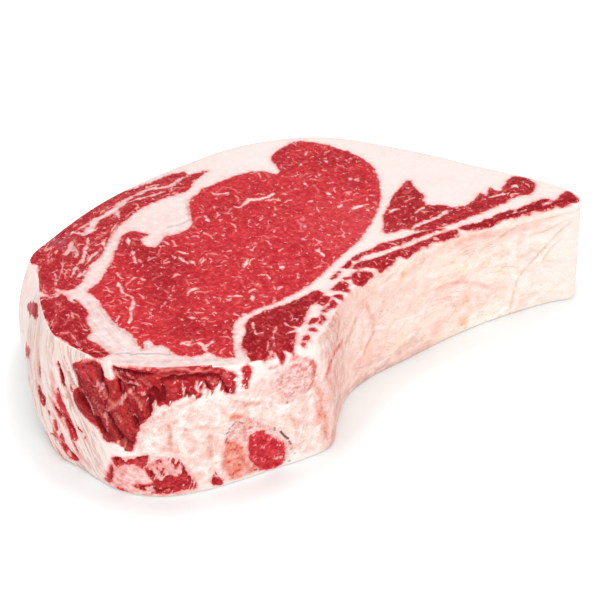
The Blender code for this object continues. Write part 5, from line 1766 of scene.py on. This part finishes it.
    # Bundles of fat fibres standing side by side at the left.
    strip = g.cloud(g.stretched(grain_at, (0.09, 1.0, 1.0)), 2.2, 4.0, 0.62, bend=0.25)
    on_top = g.eased(cream, 0.345, 0.33)
    side_tone = g.mix(on_top, colour(202, 158, 148), colour(222, 196, 198))
    white = g.mix(g.times(g.math("SUBTRACT", 1.0, on_top), g.times(streaky, 0.3)), white, colour(206, 174, 162))
    white = g.mix(g.times(g.eased(strip, 0.0, 0.9), g.times(streaky, 0.8)), white, side_tone)
    white = g.mix(g.times(g.eased(strip, -0.1, -0.9), g.times(streaky, 0.6)), white, colour(248, 238, 224))
    veins = g.eased(g.math("ABSOLUTE", g.cloud(g.stretched(grain_at, (0.14, 1.0, 1.0)), 4.6, 4.0, 0.6, bend=0.4)), 0.12, 0.0)
    white = g.mix(g.times(g.times(veins, streaky), 0.6), white, g.mix(on_top, colour(186, 84, 78), colour(206, 172, 176)))
    # Painted shade in the hollows of the wall's relief and painted highlight on its crests.
    white = g.mix(g.times(g.eased(ridge, 0.0, -0.9), 0.55), white, colour(214, 158, 142))
    white = g.mix(g.times(g.eased(ridge, 0.2, 1.0), 0.4), white, colour(255, 246, 236))
    patchy = g.math("MULTIPLY", blush, g.math("MULTIPLY_ADD", mid, 0.8, 1.0), clamp=True)
    white = g.mix(patchy, white, colour(222, 96, 90))
    # Stains and dark spots in tan and grey, and in the same field the painted shade of the top fat's folds and of the
    # rib's foot.
    dull = g.math("MULTIPLY_ADD", mid, 0.9, 0.9)
    tan = g.mix(g.eased(warm, 0.3, 0.9), colour(176, 134, 128), colour(228, 156, 104))
    white = g.mix(g.math("MULTIPLY", stain_and_shade, dull, clamp=True), white, tan)
    # Fold lines of the rib's skin and the silvery skin in darker tan: the skin's own tone, and along the folds painted
    # shade.
    white = g.mix(g.times(fold, g.eased(g.cloud(body, 9.0, 2.0), -0.6, 0.5, 0.15, 0.55)), white, colour(204, 154, 130))

    # The torn field of fat, tendon and bone in front: cream clumps with pink gaps and red dots. The pink deepens in the
    # hollows and creases of the relief and the clumps' tops and wet crests are whitened: partly the tissue's own
    # colours, partly painted shade and highlight.
    strands = g.cloud(g.stretched(body, (1.0, 1.0, 0.8)), 4.4, 4.0, 0.6, bend=0.9)
    strands = g.math("MULTIPLY_ADD", ridge, 0.5, strands)
    torn = g.mix(g.eased(strands, -1.1, 0.1), colour(234, 150, 140), colour(251, 226, 217))
    torn = g.mix(g.eased(g.cloud(body, 8.5, 3.0, 0.6, bend=0.6), -0.4, 0.5, 0.0, 0.62), torn, colour(245, 190, 180))
    torn = g.mix(g.eased(g.cloud(body, 4.5, 3.0, 0.6, bend=0.6), 0.2, 0.9, 0.0, 0.6), torn, colour(252, 222, 200))
    brush = g.cloud(upright, 3.0, 3.0, 0.55, bend=0.5)
    torn = g.mix(g.eased(brush, 0.0, 0.7, 0.0, 0.6), torn, colour(244, 190, 180))
    # Painted highlight on the clumps' tops and the wet crests.
    torn = g.mix(g.eased(strands, 0.2, 0.8, 0.0, 0.8), torn, colour(255, 246, 239))
    torn = g.mix(g.times(gleam, g.eased(lump, -0.8, 0.2, 0.3, 0.9)), torn, colour(255, 249, 244))
    flake = g.cloud(body, 3.8, 3.0, 0.5, bend=0.8)
    torn = g.mix(g.eased(flake, 0.15, 0.7, 0.0, 0.5), torn, colour(240, 182, 168))
    torn = g.mix(g.eased(flake, 0.0, -0.45, 0.0, 0.75), torn, colour(255, 247, 241))
    curl = g.eased(g.math("ABSOLUTE", g.cloud(body, 4.0, 3.0, 0.6, bend=0.9)), 0.08, 0.0)
    curl = g.times(curl, g.eased(g.cloud(body, 6.0, 2.0, 0.5), -0.1, 0.5))
    torn = g.mix(g.times(curl, 0.3), torn, colour(218, 166, 150))
    hairs = g.cloud(upright, 1.6, 3.0, 0.6, bend=0.4)
    torn = g.mix(g.times(g.eased(hairs, 0.1, 0.8), g.eased(spiky, 0.0, 1.0, 0.3, 0.6)), torn, colour(240, 182, 172))
    torn = g.mix(g.times(g.eased(hairs, -0.1, -0.8), g.eased(spiky, 0.0, 1.0, 0.2, 0.8)), torn, colour(255, 249, 244))
    raw_zone = g.eased(g.math("ADD", spongy, blush), 0.1, 0.6, 0.25, 1.0)
    torn = g.mix(g.times(raw_zone, g.eased(g.cloud(body, 1.9, 3.0, 0.6, bend=0.8), 0.45, 0.85, 0.0, 0.75)), torn, colour(218, 90, 88))
    thin_red = g.eased(g.math("ABSOLUTE", g.cloud(body, 4.2, 3.0, 0.6, bend=0.5)), 0.08, 0.0)
    torn = g.mix(g.times(thin_red, g.times(raw_zone, 0.6)), torn, colour(226, 132, 116))
    torn = g.mix(patchy, torn, g.mix(g.eased(g.math("ADD", lump, pebble), -0.9, 0.1), colour(206, 56, 50), colour(236, 140, 118)))
    torn = g.mix(g.math("MULTIPLY", stain_and_shade, 1.5, clamp=True), torn, colour(84, 10, 18))
    white = g.mix(bony, white, torn)

    # Sawn spongy bone: red and cream specks.
    pores = g.math("MULTIPLY_ADD", g.cloud(body, 2.6, 2.0, 0.5), 0.9, g.times(g.cloud(body, 1.0, 2.0, 0.6), 0.8))
    cells = g.mix(g.eased(pores, -0.6, 0.8), colour(249, 208, 200), colour(208, 78, 78))
    white = g.mix(g.times(spongy, 0.7), white, cells)
    red = g.mix(g.times(spongy, g.eased(pores, -0.1, -0.9, 0.0, 0.75)), red, colour(158, 2, 26))
    red = g.mix(g.times(spongy, g.eased(pores, 0.0, 0.6, 0.0, 0.62)), red, colour(242, 84, 90))
    red = g.mix(g.times(spongy, g.eased(pores, 0.5, 1.0)), red, colour(250, 186, 178))

    # Fat next to lean is stained pink.
    white = g.mix(g.times(g.eased(fray, -1.5, -0.2), 0.35), white, colour(240, 164, 160))
    white = g.mix(g.times(g.eased(fray, -0.8, -0.1), 0.7), white, colour(240, 136, 132))
    paint = g.mix(lean_share, white, red)
    # Dark chips round the sawn stub.
    ragged = g.times(fine, 0.2)
    chips = 0.0
    for width, line in WALL_CHIPS:
        strength = min(max(0.5 + 0.8 * (width - 0.8), 0.36), 0.86)
        for one, two in zip(line, line[1:]):
            start, run_to = wall_point(*one), wall_point(*two)
            way = run_to - start
            off = g.vector("SUBTRACT", body, tuple(start))
            share = g.math("MULTIPLY", g.vector("DOT_PRODUCT", off, tuple(way)), 1.0 / float(way @ way), clamp=True)
            gone = g.vector("LENGTH", g.vector("SUBTRACT", off, g.vector("SCALE", tuple(way), scale=share)))
            gone = g.math("SUBTRACT", g.math("ADD", gone, ragged), 0.32 * width)
            chips = g.math("MAXIMUM", chips, g.eased(gone, 0.36, -0.14, 0.0, strength))
    paint = g.mix(chips, paint, colour(72, 2, 14))
    g.plug(g.shader.inputs["Base Color"], paint)

    g.plug(g.shader.inputs["Roughness"], g.math("MULTIPLY_ADD", g.cloud(body, 3.0, 2.0), 0.06, g.math("MULTIPLY_ADD", lean_share, -0.12, 0.46)))
    g.shader.inputs["Specular IOR Level"].default_value = 0.05
    g.shader.inputs["Subsurface Weight"].default_value = 0.1
    g.shader.inputs["Subsurface Radius"].default_value = (1.0, 0.35, 0.25)
    g.shader.inputs["Subsurface Scale"].default_value = 0.0015
    g.shader.inputs["Coat Weight"].default_value = 0.045
    g.shader.inputs["Coat Roughness"].default_value = 0.2

    height = g.add_all(
        g.times(fine, 0.03),
        g.times(lump, g.math("MULTIPLY_ADD", lean_share, 0.12, 0.08)),
        g.times(lean_share, 0.14),
        g.times(threads, 0.12),
        g.times(pebble, g.times(lean_share, 0.06)),
        g.times(g.times(strands, bony), 0.6),
        g.times(g.times(flake, bony), -0.3),
        g.times(g.times(hairs, bony), g.eased(spiky, 0.0, 1.0, 0.1, 0.35)),
        g.times(g.times(g.eased(lump_edge, 0.0, 0.42), jumble), 1.6),
        g.times(g.times(run, streaky), 0.35),
        g.times(g.times(strip, streaky), 0.35),
        g.times(g.times(veil, on_rib), 0.5),
        g.times(crease, -0.2),
        g.times(fold, -0.3),
    )
    bump = g.add("ShaderNodeBump", {"Height": height, "Strength": 0.9, "Distance": 0.0009})
    g.plug(g.shader.inputs["Normal"], bump.outputs["Normal"])
    return g.made


wet = flesh_material("raw_flesh")
skin.materials.append(wet)
hard = flesh_material("raw_sawn_bone")
hard.node_tree.nodes["Principled BSDF"].inputs["Subsurface Weight"].default_value = 0.05
hard.node_tree.nodes["Principled BSDF"].inputs["Coat Weight"].default_value = 0.05
made.materials.append(hard)

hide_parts("meat")
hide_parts("rib_bone")
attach(flesh, "root")
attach(bone, "root")

# ---------------------------------------------------------------- stage, light, camera

floor_mesh = bpy.data.meshes.new("floor")
side = 6.0
floor_mesh.from_pydata([(-side, -side, 0), (side, -side, 0), (side, side, 0), (-side, side, 0)], [], [(0, 1, 2, 3)])
floor = bpy.data.objects.new("floor", floor_mesh)
bpy.context.scene.collection.objects.link(floor)
floor.location.z = -0.0001
pale = bpy.data.materials.new("pale_floor")
pale.use_nodes = True
pale.node_tree.nodes["Principled BSDF"].inputs["Roughness"].default_value = 0.9
pale.node_tree.nodes["Principled BSDF"].inputs["Emission Color"].default_value = (1.0, 1.0, 1.0, 1.0)
# The floor glows to the camera, brighter than white, and a painted contact shadow drawn from ambient occlusion darkens
# its colour and dims the glow in a soft narrow band where the steak rests on it.
floor_nodes = Graph.__new__(Graph)
floor_nodes.made, floor_nodes.tree, floor_nodes.column = pale, pale.node_tree, 0
floor_nodes.shader = pale.node_tree.nodes["Principled BSDF"]
shade = floor_nodes.add("ShaderNodeAmbientOcclusion", {"Distance": 0.026})
shade.samples = 12
near = floor_nodes.math("POWER", floor_nodes.add(
    "ShaderNodeMapRange", {"Value": shade.outputs["AO"], "From Min": 0.97, "From Max": 0.5, "To Min": 0.0, "To Max": 1.0}
).outputs["Result"], 1.5)
floor_nodes.plug(floor_nodes.shader.inputs["Base Color"], floor_nodes.mix(near, (0.90, 0.93, 0.932, 1.0), (0.83, 0.885, 0.89, 1.0)))
# The camera-only glow, dimmed by the painted contact shadow.
clear = floor_nodes.math("POWER", floor_nodes.math("SUBTRACT", 1.0, near), 6.0)
seen = floor_nodes.add("ShaderNodeLightPath").outputs["Is Camera Ray"]
painted_floor_glow = floor_nodes.math("MULTIPLY_ADD", clear, 0.45, -0.16)
floor_nodes.plug(floor_nodes.shader.inputs["Emission Strength"], floor_nodes.math("MULTIPLY_ADD", seen, painted_floor_glow, 0.16))
pale.node_tree.nodes["Principled BSDF"].inputs["Specular IOR Level"].default_value = 0.1
floor_mesh.materials.append(pale)

world = bpy.data.worlds.new("studio")
world.use_nodes = True
world.node_tree.nodes["Background"].inputs["Color"].default_value = (1.0, 1.0, 1.0, 1.0)
world.node_tree.nodes["Background"].inputs["Strength"].default_value = 0.78
bpy.context.scene.world = world


def lamp(name, where, aim, size, power):
    data = bpy.data.lights.new(name, "AREA")
    data.shape = "DISK"
    data.size = size
    data.energy = power
    made_lamp = bpy.data.objects.new(name, data)
    bpy.context.scene.collection.objects.link(made_lamp)
    made_lamp.location = where
    made_lamp.rotation_mode = "QUATERNION"
    made_lamp.rotation_quaternion = (Vector(aim) - Vector(where)).to_track_quat("-Z", "Y")


lamp("soft_key", (0.1, -0.78, 1.2), (0.0, 0.0, 0.02), 0.7, 7.6)

camera_data = bpy.data.cameras.new("camera")
camera_data.lens = 120.74
camera_data.sensor_width = 36.0
camera_data.clip_start = 0.05
camera_data.clip_end = 30.0
camera = bpy.data.objects.new("camera", camera_data)
bpy.context.scene.collection.objects.link(camera)
aim = Vector((-SHIFT_X, -SHIFT_Y, 27.0)) * MM
tilt = math.radians(40.0)
back = Vector((0.0, -math.cos(tilt), math.sin(tilt)))
camera.location = aim + back * 0.78
camera.rotation_mode = "QUATERNION"
camera.rotation_quaternion = (-back).to_track_quat("-Z", "Y")
bpy.context.scene.camera = camera
bpy.context.scene.view_settings.view_transform = "Standard"
bpy.context.scene.view_settings.look = "None"
